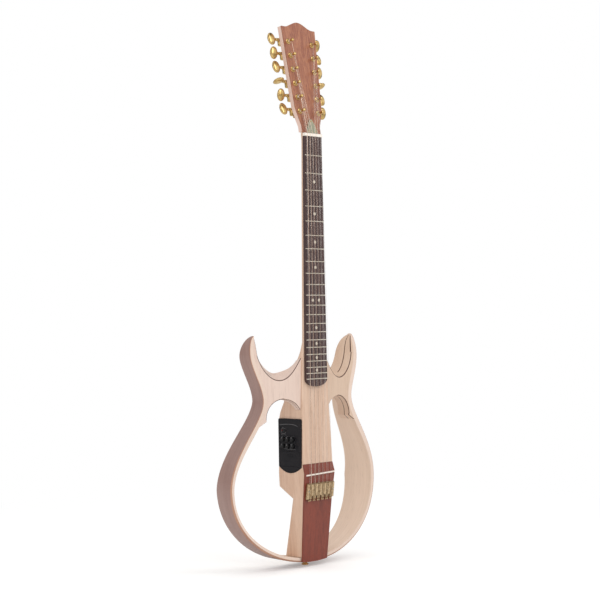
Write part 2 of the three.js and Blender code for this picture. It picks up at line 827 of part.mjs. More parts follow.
// Saddle and the pickup strip under it
const piezoBlock = saddleBlock(0, saddleBack + seatGap, piezoBack);
place("piezo_strip", piezoBlock, brass);
const crownTool = (side) => {
  const edge = polygon([
    [saddleTop - overrun, side * (saddleThickness / 2 + overrun)],
    [saddleTop - overrun, side * (saddleThickness / 2 - saddleRound)],
    [saddleTop, side * (saddleThickness / 2 - saddleRound)],
    [saddleTop + saddleRound, side * (saddleThickness / 2)],
    [saddleTop + saddleRound, side * (saddleThickness / 2 + overrun)],
  ]);
  const tool = prism("x", edge, -saddleLength, saddleLength);
  return tool.rotateY(-Math.atan2(saddleSlant, saddleLength)).translate(saddleMiddle.x, 0, saddleMiddle.z);
};
place("saddle", cut(saddleBlock(0, saddleTop, saddleBack), crownTool(1), crownTool(-1)), ivory);

// Strings: where each one crosses the nut and the saddle
const stringCount = 2 * courses;

function stringX(number, spread, pairGap) {
  const course = Math.floor(number / 2);
  const step = (spread - pairGap) / (courses - 1);
  return course * step + (number % 2) * pairGap - spread / 2;
}

const saddleX = (number) => stringX(number, saddleSpread, saddlePairGap);
const nutX = (number) => stringX(number, nutSpread, nutPairGap);

// Tailpiece: a plate with a groove for each string and a notch between the pairs
const tailpieceBack = (level) => tailpieceLowFront - tailpieceSlope * (tailpieceLow - level) - seatGap;
const tailpieceFace = (level) => tailpieceBack(level) - tailpieceThickness;
const tailpieceSection = polygon([
  [tailpieceBack(tailpieceTop), -tailpieceTop],
  [tailpieceBack(tailpieceLow), -tailpieceLow],
  [tailpieceFace(tailpieceLow), -tailpieceLow],
  [tailpieceFace(tailpieceTop + tailpieceBevel), -tailpieceTop - tailpieceBevel],
  [tailpieceFace(tailpieceTop) + tailpieceBevel, -tailpieceTop],
]);

// A cutter in the sloping face of the tailpiece
function facePocket(x, width, from, to, depth) {
  const section = polygon([
    [tailpieceFace(from) - overrun, -from],
    [tailpieceFace(to) - overrun, -to],
    [tailpieceFace(to) + depth, -to],
    [tailpieceFace(from) + depth, -from],
  ]);
  return prism("x", section, x - width / 2, x + width / 2);
}

const grooves = Array.from({ length: stringCount }, (_, number) => (
  facePocket(saddleX(number), grooveWidth, tailpieceTop - overrun, tailpieceLow + overrun, grooveDepth)
));
const notches = Array.from({ length: courses - 1 }, (_, i) => {
  const middle = (saddleX(2 * i + 1) + saddleX(2 * i + 2)) / 2;
  const [from, to] = [tailpieceLow - notchHeight, tailpieceLow + overrun];
  return facePocket(middle, notchWidth, from, to, 2 * tailpieceThickness);
});
const tailpiecePlate = prism("x", tailpieceSection, -tailpieceWidth / 2, tailpieceWidth / 2);
const tailpieceCut = cut(tailpiecePlate, ...grooves, ...notches);
place("tailpiece", join(tailpieceCut, tailStuds(tailScrewRadius, tailScrewLength)), brass);

// Head, leaning back from the nut. Its pieces are placed in its own group: y = 0 is the face.
head.position.set(0, headFaceDepth, 0);
head.rotation.x = -headTilt;
head.updateMatrixWorld();

const headThroatShares = [0.68, 0.58]; // handle of the throat's curve
const crestHalfShare = 0.8;
const crestHandleShares = [0.55, 0, 0.3, 1];
const headCurveSteps = 6;

function headOutline(low) {
  const [throat, lowHalf, topHalf] = [headThroatWidth / 2, headLowWidth / 2, headTopWidth / 2];
  const crestHalf = crestHalfShare * topHalf;
  const handle = [
    THREE.MathUtils.lerp(throat, lowHalf, headThroatShares[0]),
    THREE.MathUtils.lerp(headThroatLevel, headLowLevel, headThroatShares[1]),
  ];
  const [ax, ay, bx, by] = crestHandleShares;
  const [sideLift, crestLift] = [headLength + ay * headCrest, headLength + by * headCrest];
  const crest = headLength + headCrest;
  const shape = new THREE.Shape();
  shape.moveTo(throat, low);
  shape.lineTo(throat, headThroatLevel);
  shape.quadraticCurveTo(...handle, lowHalf, headLowLevel);
  shape.lineTo(topHalf, headLength);
  shape.lineTo(crestHalf, headLength);
  shape.bezierCurveTo(ax * topHalf, sideLift, bx * topHalf, crestLift, 0, crest);
  shape.bezierCurveTo(-bx * topHalf, crestLift, -ax * topHalf, sideLift, -crestHalf, headLength);
  shape.lineTo(-topHalf, headLength);
  shape.lineTo(-lowHalf, headLowLevel);
  shape.quadraticCurveTo(-handle[0], handle[1], -throat, headThroatLevel);
  shape.lineTo(-throat, low);
  shape.closePath();
  return shape;
}

const headEdgeAt = (level) => (
  THREE.MathUtils.mapLinear(level, headLowLevel, headLength, headLowWidth / 2, headTopWidth / 2)
);

const tuners = Array.from({ length: tunersPerSide }, (_, i) => {
  const level = firstTunerLevel + i * tunerPitch;
  const share = i / (tunersPerSide - 1);
  return { level, x: THREE.MathUtils.lerp(lowPostOffset, topPostOffset, share), edge: headEdgeAt(level) };
});

const bushingSides = 10;
const postSides = 8;
const bushingHole = (radius, from, to) => tuners.flatMap(({ x, level }) => (
  [x, -x].map((at) => rod("y", radius, from, to, bushingSides).translate(at, 0, level))
));
const trussPocket = box(
  [-trussNutRadius - 2 * seatGap, trussNutRadius + 2 * seatGap],
  [-overrun, (rodBack - headFaceDepth) / Math.cos(headTilt)],
  [nutLength - overrun, neckHeadEnd + trussPocketLength],
);
const coreFront = veneerThickness + seatGap;
const corePrism = prism("y", headOutline(neckHeadEnd + seatGap), coreFront, headThickness, headCurveSteps);
const veneerPrism = prism("y", headOutline(nutLength + 2 * seatGap), 0, veneerThickness, headCurveSteps);
const headHoles = bushingHole(bushingRadius + seatGap, -overrun, headThickness + overrun);
place("headstock", cut(corePrism, trussPocket, ...headHoles), tanWood, head);
place("headstock_veneer", cut(veneerPrism, trussPocket, ...headHoles), headWood, head);

// Cover over the end of the truss rod
const coverHipShare = 0.42;
const coverTipShare = 0.2;

function coverOutline() {
  const [half, low] = [trussCoverWidth / 2, nutLength + 2 * seatGap];
  const [hip, tip] = [low + coverHipShare * trussCoverLength, low + trussCoverLength];
  const shape = new THREE.Shape();
  shape.moveTo(half, low);
  shape.quadraticCurveTo(half, hip, coverTipShare * half, tip);
  shape.lineTo(-coverTipShare * half, tip);
  shape.quadraticCurveTo(-half, hip, -half, low);
  shape.closePath();
  return shape;
}

const trussCover = prism("y", coverOutline(), -seatGap - trussCoverThickness, -seatGap, 8);
place("truss_rod_cover", trussCover, pearl, head);

// Tuning machines. The housings and bushings of one side hang together on a strip behind the head.
const keyRise = wheelRadius + wormRadius + seatGap; // from the post's axis up to the key's axis
const stripFront = headThickness + seatGap;
const stripBack = stripFront + stripThickness;
const housingBack = keyAxisDepth + wormRadius + slideGap + housingWall;
const postBore = (postRadius + slideGap) / Math.cos(Math.PI / bushingSides);
const shaftBore = (keyShaftRadius + slideGap) / Math.cos(Math.PI / postSides);

function housing({ x, level, edge }) {
  const inner = x - wheelRadius - slideGap;
  const outer = edge - housingInset;
  const low = level - wheelRadius - slideGap;
  const high = level + keyRise + wormRadius + slideGap;
  const shell = box(
    [inner - housingWall, outer],
    [stripFront, housingBack],
    [low - housingWall, high + housingWall],
  );
  const nose = rod("x", housingNoseRadius, outer - housingWall, edge + housingNose, postSides);
  const flange = -seatGap - bushingFlangeThickness;
  const body = join(
    shell,
    nose.translate(0, keyAxisDepth, level + keyRise),
    rod("y", bushingRadius, flange, stripBack, bushingSides).translate(x, 0, level),
    rod("y", bushingFlangeRadius, flange, -seatGap, bushingSides).translate(x, 0, level),
  );
  return cut(
    body,
    box([inner, outer - housingWall], [stripBack, housingBack - housingWall], [low, high]),
    rod("y", postBore, flange - overrun, stripBack + overrun, bushingSides).translate(x, 0, level),
    rod("x", shaftBore, outer - 2 * housingWall, edge + housingNose + overrun, postSides)
      .translate(0, keyAxisDepth, level + keyRise),
  );
}

function tunerStrip() {
  const [low, high] = [tuners[0], tuners[tunersPerSide - 1]];
  const reach = wheelRadius + slideGap + housingWall;
  const corner = (tuner, level) => [tuner.x - reach, level];
  const rim = (tuner, level) => [headEdgeAt(level) - stripInset, level];
  const outlinePoints = [
    corner(low, low.level - stripEnd),
    rim(low, low.level - stripEnd),
    rim(high, high.level + stripEnd),
    corner(high, high.level + stripEnd),
  ];
  const bore = rod("y", bushingRadius - seatGap, stripFront - overrun, stripBack + overrun, bushingSides);
  const bores = tuners.map(({ x, level }) => bore.clone().translate(x, 0, level));
  const strip = cut(prism("y", polygon(outlinePoints), stripFront, stripBack), ...bores);
  return join(strip, ...tuners.map(housing));
}

const trebleStrip = tunerStrip();
place("treble_tuner_strip", trebleStrip, gold, head);
place("bass_tuner_strip", mirrored(trebleStrip), gold, head);

const stringRadius = (number) => heaviestString * stringRadiusShares[number];

// A post with its gear wheel. The first tuner is the lowest one.
const postShoulder = postRadius - postWaistRadius;
const post = turned("y", [
  [0, -postHeight],
  [postRadius, -postHeight],
  [postRadius, -postWaistTo - postShoulder],
  [postWaistRadius, -postWaistTo],
  [postWaistRadius, -postWaistFrom],
  [postRadius, postShoulder - postWaistFrom],
  [postRadius, keyAxisDepth - wheelThickness / 2],
  [wheelRadius, keyAxisDepth - wheelThickness / 2],
  [wheelRadius, keyAxisDepth + wheelThickness / 2],
  [0, keyAxisDepth + wheelThickness / 2],
], postSides);

// A key: worm, shaft, collar and an oval knob, with the shaft's axis on x and its start at the worm
const knobCorners = 12;

function knobSection(width, thickness) {
  const points = [];
  for (let i = 0; i < knobCorners; i++) {
    const turn = (i / knobCorners) * 2 * Math.PI;
    points.push([(thickness / 2) * Math.cos(turn), (width / 2) * Math.sin(turn)]);
  }
  return points;
}

function knob(near) {
  const far = near + keyKnobLength;
  const rows = [
    [near, keyKnobBevel],
    [near + keyKnobBevel, 0],
    [far - keyKnobBevel, 0],
    [far, keyKnobBevel],
  ];
  return loft(rows.map(([x, less]) => (
    knobSection(keyKnobWidth - 2 * less, keyKnobThickness - less).map(([y, z]) => new THREE.Vector3(x, y, z))
  )));
}

function key({ x, edge }, turn) {
  const near = edge + keyKnobReach - x;
  const nose = edge + housingNose + slideGap - x;
  const shaft = turned("x", [
    [0, -wormLength / 2],
    [wormRadius, -wormLength / 2],
    [wormRadius, wormLength / 2],
    [keyShaftRadius, wormLength / 2],
    [keyShaftRadius, nose],
    [keyCollarRadius, nose],
    [keyCollarRadius, near + keyKnobBevel],
    [0, near + keyKnobBevel],
  ], postSides);
  return join(shaft, knob(near).rotateX(THREE.MathUtils.degToRad(turn)));
}

const trebleTurns = [12, -8, 75, 6, -14, 20]; // degrees at which the knobs happen to stand, lowest first
const bassTurns = [-10, 14, 78, -6, 10, -4];

for (const [side, hand, turns] of [["treble", 1, trebleTurns], ["bass", -1, bassTurns]]) {
  tuners.forEach((tuner, i) => {
    const keyShape = hand > 0 ? key(tuner, turns[i]) : mirrored(key(tuner, turns[i]));
    const keyPiece = place(`${side}_key_${i + 1}`, keyShape, gold, head);
    keyPiece.position.set(hand * tuner.x, keyAxisDepth, tuner.level + keyRise);
    const postPiece = place(`${side}_post_${i + 1}`, post.clone(), gold, head);
    postPiece.position.set(hand * tuner.x, 0, tuner.level);
  });
}

// Strings: from the ball end up through the tailpiece, over the saddle and the nut to the post
function stringTube(path, radius) {
  return loft(path.map((at) => {
    const ring = [];
    for (let i = 0; i < stringSides; i++) {
      const turn = (i / stringSides) * 2 * Math.PI;
      ring.push(new THREE.Vector3(at.x + radius * Math.cos(turn), at.y + radius * Math.sin(turn), at.z));
    }
    return ring;
  }));
}

function stringPath(number) {
  const radius = stringRadius(number);
  const [xs, xn] = [saddleX(number), nutX(number)];
  const slant = (saddleSlant / saddleLength) * (xs - saddleOffset);
  const grooved = (level) => tailpieceFace(level) + grooveDepth - seatGap - heaviestString;
  const bass = number < courses;
  const index = bass ? number : stringCount - 1 - number;
  const tuner = tuners[index];
  const side = tuner.x - postWaistRadius - radius - seatGap;
  const wind = index === 0 ? lowStringLevel : stringLevel;
  const end = head.localToWorld(new THREE.Vector3(bass ? -side : side, -wind, tuner.level));
  return [
    new THREE.Vector3(xs, grooved(tailpieceLow), -tailpieceLow - seatGap - ballRadius),
    new THREE.Vector3(xs, grooved(tailpieceTop), -tailpieceTop),
    new THREE.Vector3(xs, saddleTop - seatGap - radius, slant - saddleLevel),
    new THREE.Vector3(xn, -nutRise - seatGap - radius, 0),
    new THREE.Vector3(xn, -nutRise - seatGap - radius, nutLength),
    end,
  ];
}

for (let course = 0; course < courses; course++) {
  const pair = [2 * course, 2 * course + 1];
  const paths = pair.map(stringPath);
  const low = paths[0][0];
  const ends = [low.x - ballLength / 2, paths[1][0].x + ballLength / 2];
  const balls = rod("x", ballRadius, ...ends, 10).translate(0, low.y, low.z);
  const tubes = paths.map((path, i) => stringTube(path, stringRadius(pair[i])));
  const wound = woundStrings.includes(pair[1]);
  place(`course_${courses - course}`, join(balls, ...tubes), wound ? bronze : steel);
}

// Preamp pieces
const caseInside = [
  [-panelSeat - overrun, caseDepth - panelSeat - caseWall],
  [drawerMiddle - caseHalf + caseWall, drawerMiddle + caseHalf - caseWall],
  [-caseLow + caseWall, -caseTop - caseWall],
];
place("preamp_case", cut(box(...caseBox(0)), box(...caseInside)), blackPlastic);

const knobSpots = knobRows.flatMap((level) => knobColumns.map((y) => ({ y, level })));
const stemHole = knobStemRadius + slideGap;
const stemHoles = knobSpots.map(({ y, level }) => (
  rod("x", stemHole, panelFace - overrun, overrun - panelSeat, 10).translate(0, y, -level)
));
const buttonHole = rod("x", buttonRadius + slideGap, panelFace - overrun, overrun - panelSeat, 10)
  .translate(0, buttonAt.y, -buttonAt.level);
const drawerHole = box(
  [panelFace - overrun, overrun - panelSeat],
  [drawerFront - slideGap, drawerBack + slideGap],
  [-drawerLow - slideGap, slideGap - drawerTop],
);
const panel = prism("x", panelOutline(0), panelFace, -panelSeat - seatGap, 6);
place("preamp_panel", cut(panel, ...stemHoles, buttonHole, drawerHole), blackPlastic);

// Drawer: its front lies in the panel, and the tray behind it holds the battery
const drawerSeat = -panelSeat - seatGap;
const trayBack = drawerSeat + seatGap + batteryThickness + seatGap + drawerWall;
const trayLow = -drawerLow + slideGap;
const trayHigh = trayLow + drawerWall + seatGap + batteryWidth;
const drawerPlate = box([panelFace, drawerSeat], [drawerFront, drawerBack], [-drawerLow, -drawerTop]);
const tray = box(
  [drawerSeat - seatGap, trayBack],
  [drawerMiddle - trayHalf, drawerMiddle + trayHalf],
  [trayLow, trayHigh],
);
const trayInside = box(
  [drawerSeat, trayBack - drawerWall],
  [drawerMiddle - trayHalf + drawerWall, drawerMiddle + trayHalf - drawerWall],
  [trayLow + drawerWall, trayHigh + overrun],
);
place("battery_drawer", cut(join(drawerPlate, tray), trayInside), blackPlastic);
place("battery", box(
  [drawerSeat + seatGap, drawerSeat + seatGap + batteryThickness],
  [drawerMiddle - batteryLength / 2, drawerMiddle + batteryLength / 2],
  [trayLow + drawerWall + seatGap, trayLow + drawerWall + seatGap + batteryWidth],
), cellGrey);

// Circuit board above the drawer, with the bodies of its controls
const boardFace = boardSetback - panelSeat;
const controlFace = boardFace - controlBodyHeight;
const controls = knobSpots.map(({ y, level }) => box(
  [controlFace, boardFace + circuitThickness / 2],
  [y - controlBody, y + controlBody],
  [-level - controlBody, controlBody - level],
));
const buttonSwitch = box(
  [controlFace, boardFace + circuitThickness / 2],
  [buttonAt.y - controlBody, buttonAt.y + controlBody],
  [-buttonAt.level - controlBody, controlBody - buttonAt.level],
);
const circuit = box(
  [boardFace, boardFace + circuitThickness],
  [caseInside[1][0] + seatGap, caseInside[1][1] - seatGap],
  [trayHigh + 2 * slideGap, caseInside[2][1] - seatGap],
);
place("circuit_board", join(circuit, ...controls, buttonSwitch), circuitGreen);

const knobNames = ["bass", "middle", "treble", "volume", "presence", "notch"];
const knobBack = panelFace - slideGap;
const knobTop = knobBack - knobHeight;
const toneKnob = cut(
  turned("x", [
    [0, knobTop],
    [knobRadius - knobMarkDepth, knobTop],
    [knobRadius, knobTop + knobMarkDepth],
    [knobRadius, knobBack],
    [knobStemRadius, knobBack],
    [knobStemRadius, controlFace - seatGap],
    [0, controlFace - seatGap],
  ], 12),
  box(
    [knobTop - overrun, knobTop + knobMarkDepth],
    [-knobMarkWidth / 2, knobMarkWidth / 2],
    [0, knobRadius + overrun],
  ),
);
knobSpots.forEach(({ y, level }, i) => {
  const piece = place(`${knobNames[i]}_knob`, toneKnob.clone(), blackPlastic);
  piece.position.set(0, y, -level);
});

const buttonShape = turned("x", [
  [0, panelFace - buttonProud],
  [buttonRadius, panelFace - buttonProud],
  [buttonRadius, -panelSeat],
  [buttonRadius + buttonFlange, -panelSeat],
  [buttonRadius + buttonFlange, controlFace - seatGap - buttonTravel],
  [0, controlFace - seatGap - buttonTravel],
], 12);
place("tuner_button", buttonShape, blackPlastic).position.set(0, buttonAt.y, -buttonAt.level);

// End pin jack: a strap button outside, a barrel with the socket's bore inside
const pinOuter = -tail.level - endPinHeight;
const barrelTop = endPinBarrelLength - tail.level;
const pinBody = turned("z", [
  [0, pinOuter],
  [endPinFlangeRadius, pinOuter],
  [endPinFlangeRadius, pinOuter + endPinFlangeThickness],
  [endPinNeckRadius, pinOuter + endPinFlangeThickness],
  [endPinNeckRadius, -tail.level],
  [endPinBarrelRadius, -tail.level],
  [endPinBarrelRadius, barrelTop],
  [0, barrelTop],
], endPinSides);
const jackBore = rod("z", jackBoreRadius, pinOuter - overrun, pinOuter + jackBoreDepth, 12);
place("end_pin_jack", cut(pinBody, jackBore), gold).position.set(0, endPinDepth, 0);

// The part's origin: the middle of the end pin's outer face
guitar.position.set(0, -endPinDepth, -pinOuter);

export default guitar;
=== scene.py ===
# %% [markdown]
# # A silent guitar with twelve strings
#
# This guitar has no hollow body. One long beam runs from the head to the tail, and two bent wooden
# side frames and two shoulder plates give the player the outline of a body to hold. The measured
# model, made elsewhere, is loaded first and never changed: it says where every piece is and how it
# moves. This script then dresses it. Most pieces are rebuilt as finer meshes from the same numbers,
# with rounded edges, grain and small fittings, and each one hides the plain solid that it stands for.

from math import atan2, cos, hypot, pi, radians, sin, tan

import bmesh
import bpy
from mathutils import Matrix, Vector
from mathutils.geometry import delaunay_2d_cdt


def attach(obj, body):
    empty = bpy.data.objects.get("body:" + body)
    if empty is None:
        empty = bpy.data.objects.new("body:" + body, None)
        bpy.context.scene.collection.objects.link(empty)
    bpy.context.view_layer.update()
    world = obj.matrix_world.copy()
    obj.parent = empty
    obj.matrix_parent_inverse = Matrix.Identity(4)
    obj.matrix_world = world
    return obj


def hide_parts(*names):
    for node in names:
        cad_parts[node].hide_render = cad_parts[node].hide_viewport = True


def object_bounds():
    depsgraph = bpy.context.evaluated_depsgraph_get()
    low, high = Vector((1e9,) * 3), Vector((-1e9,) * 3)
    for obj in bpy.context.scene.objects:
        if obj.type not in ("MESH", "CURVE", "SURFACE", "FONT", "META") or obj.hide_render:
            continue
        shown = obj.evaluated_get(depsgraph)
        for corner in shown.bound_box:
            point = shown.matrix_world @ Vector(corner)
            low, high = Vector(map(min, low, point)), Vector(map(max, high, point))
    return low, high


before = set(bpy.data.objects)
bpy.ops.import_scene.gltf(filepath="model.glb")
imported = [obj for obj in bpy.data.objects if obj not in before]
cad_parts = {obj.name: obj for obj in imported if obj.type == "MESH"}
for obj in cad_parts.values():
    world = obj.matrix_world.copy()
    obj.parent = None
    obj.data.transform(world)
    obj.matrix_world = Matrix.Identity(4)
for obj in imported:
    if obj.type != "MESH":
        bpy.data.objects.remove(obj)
measured_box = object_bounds()
print("measured box, m:", [[round(v, 4) for v in corner] for corner in measured_box])

# %% [markdown]
# ## The camera
#
# A photograph fixes more than the direction of view: the distance decides how fast things shrink
# towards the back. The camera could be placed by eye, but here its distance, direction, tilt and focal
# length were fitted to known points of the instrument, such as the frets. The small shift keeps the
# upright lines upright, as a photographer does who crops a taller picture.

# %% Camera at the photograph's point of view
scene = bpy.context.scene


def in_scene(name, data):
    made = bpy.data.objects.new(name, data)
    scene.collection.objects.link(made)
    return made


def direction(azimuth, elevation):
    turn, rise = radians(azimuth), radians(elevation)
    return Vector((-sin(turn) * cos(rise), cos(turn) * cos(rise), -sin(rise)))


view_azimuth, view_elevation, view_roll = -46.329, 2.051, radians(-0.903)
forward = direction(view_azimuth, view_elevation)
level_right = forward.cross(Vector((0, 0, 1))).normalized()
level_up = level_right.cross(forward)
right = level_right * cos(view_roll) + level_up * sin(view_roll)
up = level_up * cos(view_roll) - level_right * sin(view_roll)
lens = bpy.data.cameras.new("photo_camera")
lens.lens, lens.sensor_width = 90.013, 36.0
lens.shift_x, lens.shift_y = -0.02838, 0.1171
camera_place = Matrix.Translation((-2.0982, -2.0440, 0.4857))
camera = in_scene("photo_camera", lens)
camera.matrix_world = camera_place @ Matrix((right, up, -forward)).transposed().to_4x4()
scene.camera = camera
scene.view_settings.view_transform = "Standard"
print("camera looks along", [round(v, 3) for v in forward])

# %% [markdown]
# ## Colours and networks
#
# Blender works with light as it adds up, while a colour picked from a photograph is coded for a
# screen. Writing screen values straight into a socket makes everything pale, so one small helper
# turns 0 to 255 screen values into the linear ones. Every finish is a small network: textures make
# colours and heights, and one shader turns them into a surface. The helpers below add one node each
# and link it in the same step, so that a network reads like a row of sums.

# %% Screen colours to linear ones
def tint(red, green, blue):
    def linear(value):
        share = value / 255
        return share / 12.92 if share <= 0.04045 else ((share + 0.055) / 1.055) ** 2.4

    return (linear(red), linear(green), linear(blue), 1.0)


white = (1, 1, 1, 1)


# %% Helpers for networks
def fill(sockets, values):
    for label, value in values.items():
        if isinstance(value, bpy.types.NodeSocket):
            value.id_data.links.new(value, sockets[label])
        else:
            sockets[label].default_value = value


def node(tree, kind, settings=None, inputs=None):
    made = tree.nodes.new("ShaderNode" + kind)
    for name, value in (settings or {}).items():
        setattr(made, name, value)
    fill(made.inputs, inputs or {})
    return made


def sums(tree, operation, first, second):
    return node(tree, "Math", {"operation": operation}, {0: first, 1: second}).outputs[0]


def times(tree, first, second):
    return sums(tree, "MULTIPLY", first, second)


def plus(tree, first, second):
    return sums(tree, "ADD", first, second)


def minus(tree, first, second):
    return sums(tree, "SUBTRACT", first, second)


def between_colours(tree, share, first, second):
    inputs = {0: share, 6: first, 7: second}
    return node(tree, "Mix", {"data_type": "RGBA"}, inputs).outputs[2]


def spread(tree, value, low, high, to_low=0.0, to_high=1.0):
    inputs = {"Value": value, "From Min": low, "From Max": high, "To Min": to_low, "To Max": to_high}
    return node(tree, "MapRange", None, inputs).outputs["Result"]


def noise(tree, place, scale, detail=3.0, rough=0.5, twist=0.0):
    inputs = {"Vector": place, "Scale": scale, "Detail": detail}
    inputs |= {"Roughness": rough, "Distortion": twist}
    return node(tree, "TexNoise", None, inputs).outputs["Fac"]


# %% A material with one shader
def new_material(name, values):
    material = bpy.data.materials.new(name)
    material.use_nodes = True
    shader = material.node_tree.nodes["Principled BSDF"]
    fill(shader.inputs, values)
    return material, material.node_tree, shader


# %% [markdown]
# ## Floor, sky and lamps
#
# The instrument is shown on plain white with very soft light. A ring of strong lamps would burn out
# the pale wood, so most of the light comes evenly from the surroundings, and two large, weak panels
# give the forms a light and a dark side. The white behind comes from a colour that only the camera
# sees, so it adds no light to the wood. Metal needs something dark to mirror, or it looks like paint:
# a photographer sets up black screens beside the lamps, and here the mirrored room has dark patches.

# %% Floor
def paper_floor():
    paper = {"Base Color": tint(247, 247, 246), "Roughness": 0.9, "Specular IOR Level": 0.1}
    material, tree, shader = new_material("pale_floor", paper | {"Emission Color": white})
    camera_ray = node(tree, "LightPath").outputs["Is Camera Ray"]
    fill(shader.inputs, {"Emission Strength": spread(tree, camera_ray, 0.0, 1.0, 0.0, 0.24)})
    place = node(tree, "TexCoord").outputs["Object"]
    far = node(tree, "VectorMath", {"operation": "LENGTH"}, {0: place}).outputs["Value"]
    limits = {"Value": far, "From Min": 0.3, "From Max": 1.3}
    fade = node(tree, "MapRange", {"interpolation_type": "SMOOTHSTEP"}, limits).outputs["Result"]
    glow = node(tree, "Emission", None, {"Color": white}).outputs[0]
    mixed = {0: times(tree, fade, camera_ray), 1: shader.outputs[0], 2: glow}
    surface = node(tree, "MixShader", None, mixed).outputs[0]
    fill(tree.nodes["Material Output"].inputs, {"Surface": surface})
    return material


floor_mesh = bpy.data.meshes.new("floor")
floor_mesh.from_pydata([(-9, -9, 0), (9, -9, 0), (9, 9, 0), (-9, 9, 0)], [], [(0, 1, 2, 3)])
floor_mesh.materials.append(paper_floor())
floor = in_scene("floor", floor_mesh)
floor.location.z = measured_box[0][2] - 0.0005
print("floor at", round(floor.location.z, 4), "m")

# %% Surroundings
world = bpy.data.worlds.new("soft_white_room")
scene.world = world
world.use_nodes = True
room = world.node_tree
room.nodes.clear()
rays = node(room, "LightPath").outputs
seen_directly = sums(room, "MAXIMUM", rays["Is Camera Ray"], rays["Is Glossy Ray"])
strength = spread(room, seen_directly, 0.0, 1.0, 0.8, 1.0)
patches = noise(room, node(room, "TexCoord").outputs["Generated"], 2.2, 0.5)
screens = node(room, "ValToRGB", None, {"Fac": patches})
dark_end, light_end = screens.color_ramp.elements
dark_end.position, light_end.position = 0.44, 0.56
dark_end.color = (0.16, 0.14, 0.13, 1)
mirrored = between_colours(room, rays["Is Glossy Ray"], white, screens.outputs["Color"])
backdrop = node(room, "Background", None, {"Color": mirrored, "Strength": strength})
node(room, "OutputWorld", None, {"Surface": backdrop.outputs["Background"]})
print("nodes of the room:", len(room.nodes))

# %% Two large soft panels
def soft_panel(name, azimuth, elevation, distance, size, power):
    lamp = bpy.data.lights.new(name, "AREA")
    lamp.shape, lamp.size, lamp.size_y, lamp.energy = "RECTANGLE", size[0], size[1], power
    panel = in_scene(name, lamp)
    away = -direction(azimuth, elevation)
    panel.location = Vector((0, 0, 0.5)) + away * distance
    panel.rotation_euler = (-away).to_track_quat("-Z", "Y").to_euler()


soft_panel("key_panel", 12, 34, 2.6, (1.6, 2.2), 17)
soft_panel("side_panel", -78, 18, 3.0, (1.2, 2.2), 7)

# %% [markdown]
# ## Grain
#
# Effects that several finishes share are kept as node groups with named inputs, so that each wood can
# use the same grain with its own colours. Sawn wood shows broad bands of growth, fine fibres and
# short dark pores, all drawn out along the trunk. Stretching one noise pattern along the piece gives
# the bands, folding its values back and forth makes them into lines, and two finer patterns give
# fibres and pores. The same heights feed a very shallow bump, because lacquer over open grain isn't
# quite flat.

# %% Helpers for groups
def stretched(tree, place, share):
    along_grain = node(tree, "CombineXYZ", None, {"X": 1.0, "Y": 1.0, "Z": share}).outputs[0]
    return node(tree, "VectorMath", {"operation": "MULTIPLY"}, {0: place, 1: along_grain}).outputs[0]


def new_group(name, inputs):
    group = bpy.data.node_groups.new(name, "ShaderNodeTree")
    group.interface.new_socket("Place", in_out="INPUT", socket_type="NodeSocketVector")
    for label, value in inputs.items():
        kind = "NodeSocketFloat" if isinstance(value, float) else "NodeSocketColor"
        group.interface.new_socket(label, in_out="INPUT", socket_type=kind).default_value = value
    group.interface.new_socket("Color", in_out="OUTPUT", socket_type="NodeSocketColor")
    for label in ("Roughness", "Height"):
        group.interface.new_socket(label, in_out="OUTPUT", socket_type="NodeSocketFloat")
    given = group.nodes.new("NodeGroupInput").outputs
    print(name, "inputs:", ", ".join(["Place"] + list(inputs)))
    return group, given, group.nodes.new("NodeGroupOutput").inputs


# %% Grain group
wood_inputs = {"Light": tint(228, 203, 190), "Dark": tint(205, 175, 158), "Bands": 60.0}
wood_inputs |= {"Length": 0.08, "Lines": 5.0, "Figure": 0.5, "Fibres": 0.4, "Pores": 0.3, "Satin": 0.45}
wood_grain, given, gives = new_group("wood_grain", wood_inputs)
tree, place = wood_grain, given["Place"]
broad = noise(tree, stretched(tree, place, given["Length"]), given["Bands"], 2.0, 0.45, 0.4)
folds = sums(tree, "PINGPONG", times(tree, broad, given["Lines"]), 0.5)
lines = times(tree, times(tree, folds, 2.0), given["Figure"])
fibre = noise(tree, stretched(tree, place, 0.012), times(tree, given["Bands"], 13.0), 3.0, 0.6)
fibres = times(tree, spread(tree, fibre, 0.36, 0.66), given["Fibres"])
clouds = times(tree, spread(tree, broad, 0.3, 0.7), 0.45)
shade = spread(tree, plus(tree, plus(tree, lines, fibres), minus(tree, clouds, 0.22)), 0.0, 1.0)
pore = noise(tree, stretched(tree, place, 0.045), times(tree, given["Bands"], 24.0), 1.0, 0.4)
pores = times(tree, spread(tree, pore, 0.63, 0.74), given["Pores"])
deep = node(tree, "HueSaturation", None, {"Value": 0.55, "Color": given["Dark"]}).outputs[0]
wood = between_colours(tree, shade, given["Light"], given["Dark"])
sheen = plus(tree, given["Satin"], times(tree, minus(tree, fibre, 0.5), 0.3))
colour = between_colours(tree, pores, wood, deep)
fill(gives, {"Color": colour, "Roughness": sheen, "Height": minus(tree, fibre, pores)})

# %% [markdown]
# ## Plated metal
#
# New plating is bright but never perfect: polishing leaves it a little uneven, and handling dulls it
# in soft patches. A plain yellow shader looks like paint, because it is the same everywhere. This
# group varies the tone and the roughness in patches, and adds the finest hair lines.

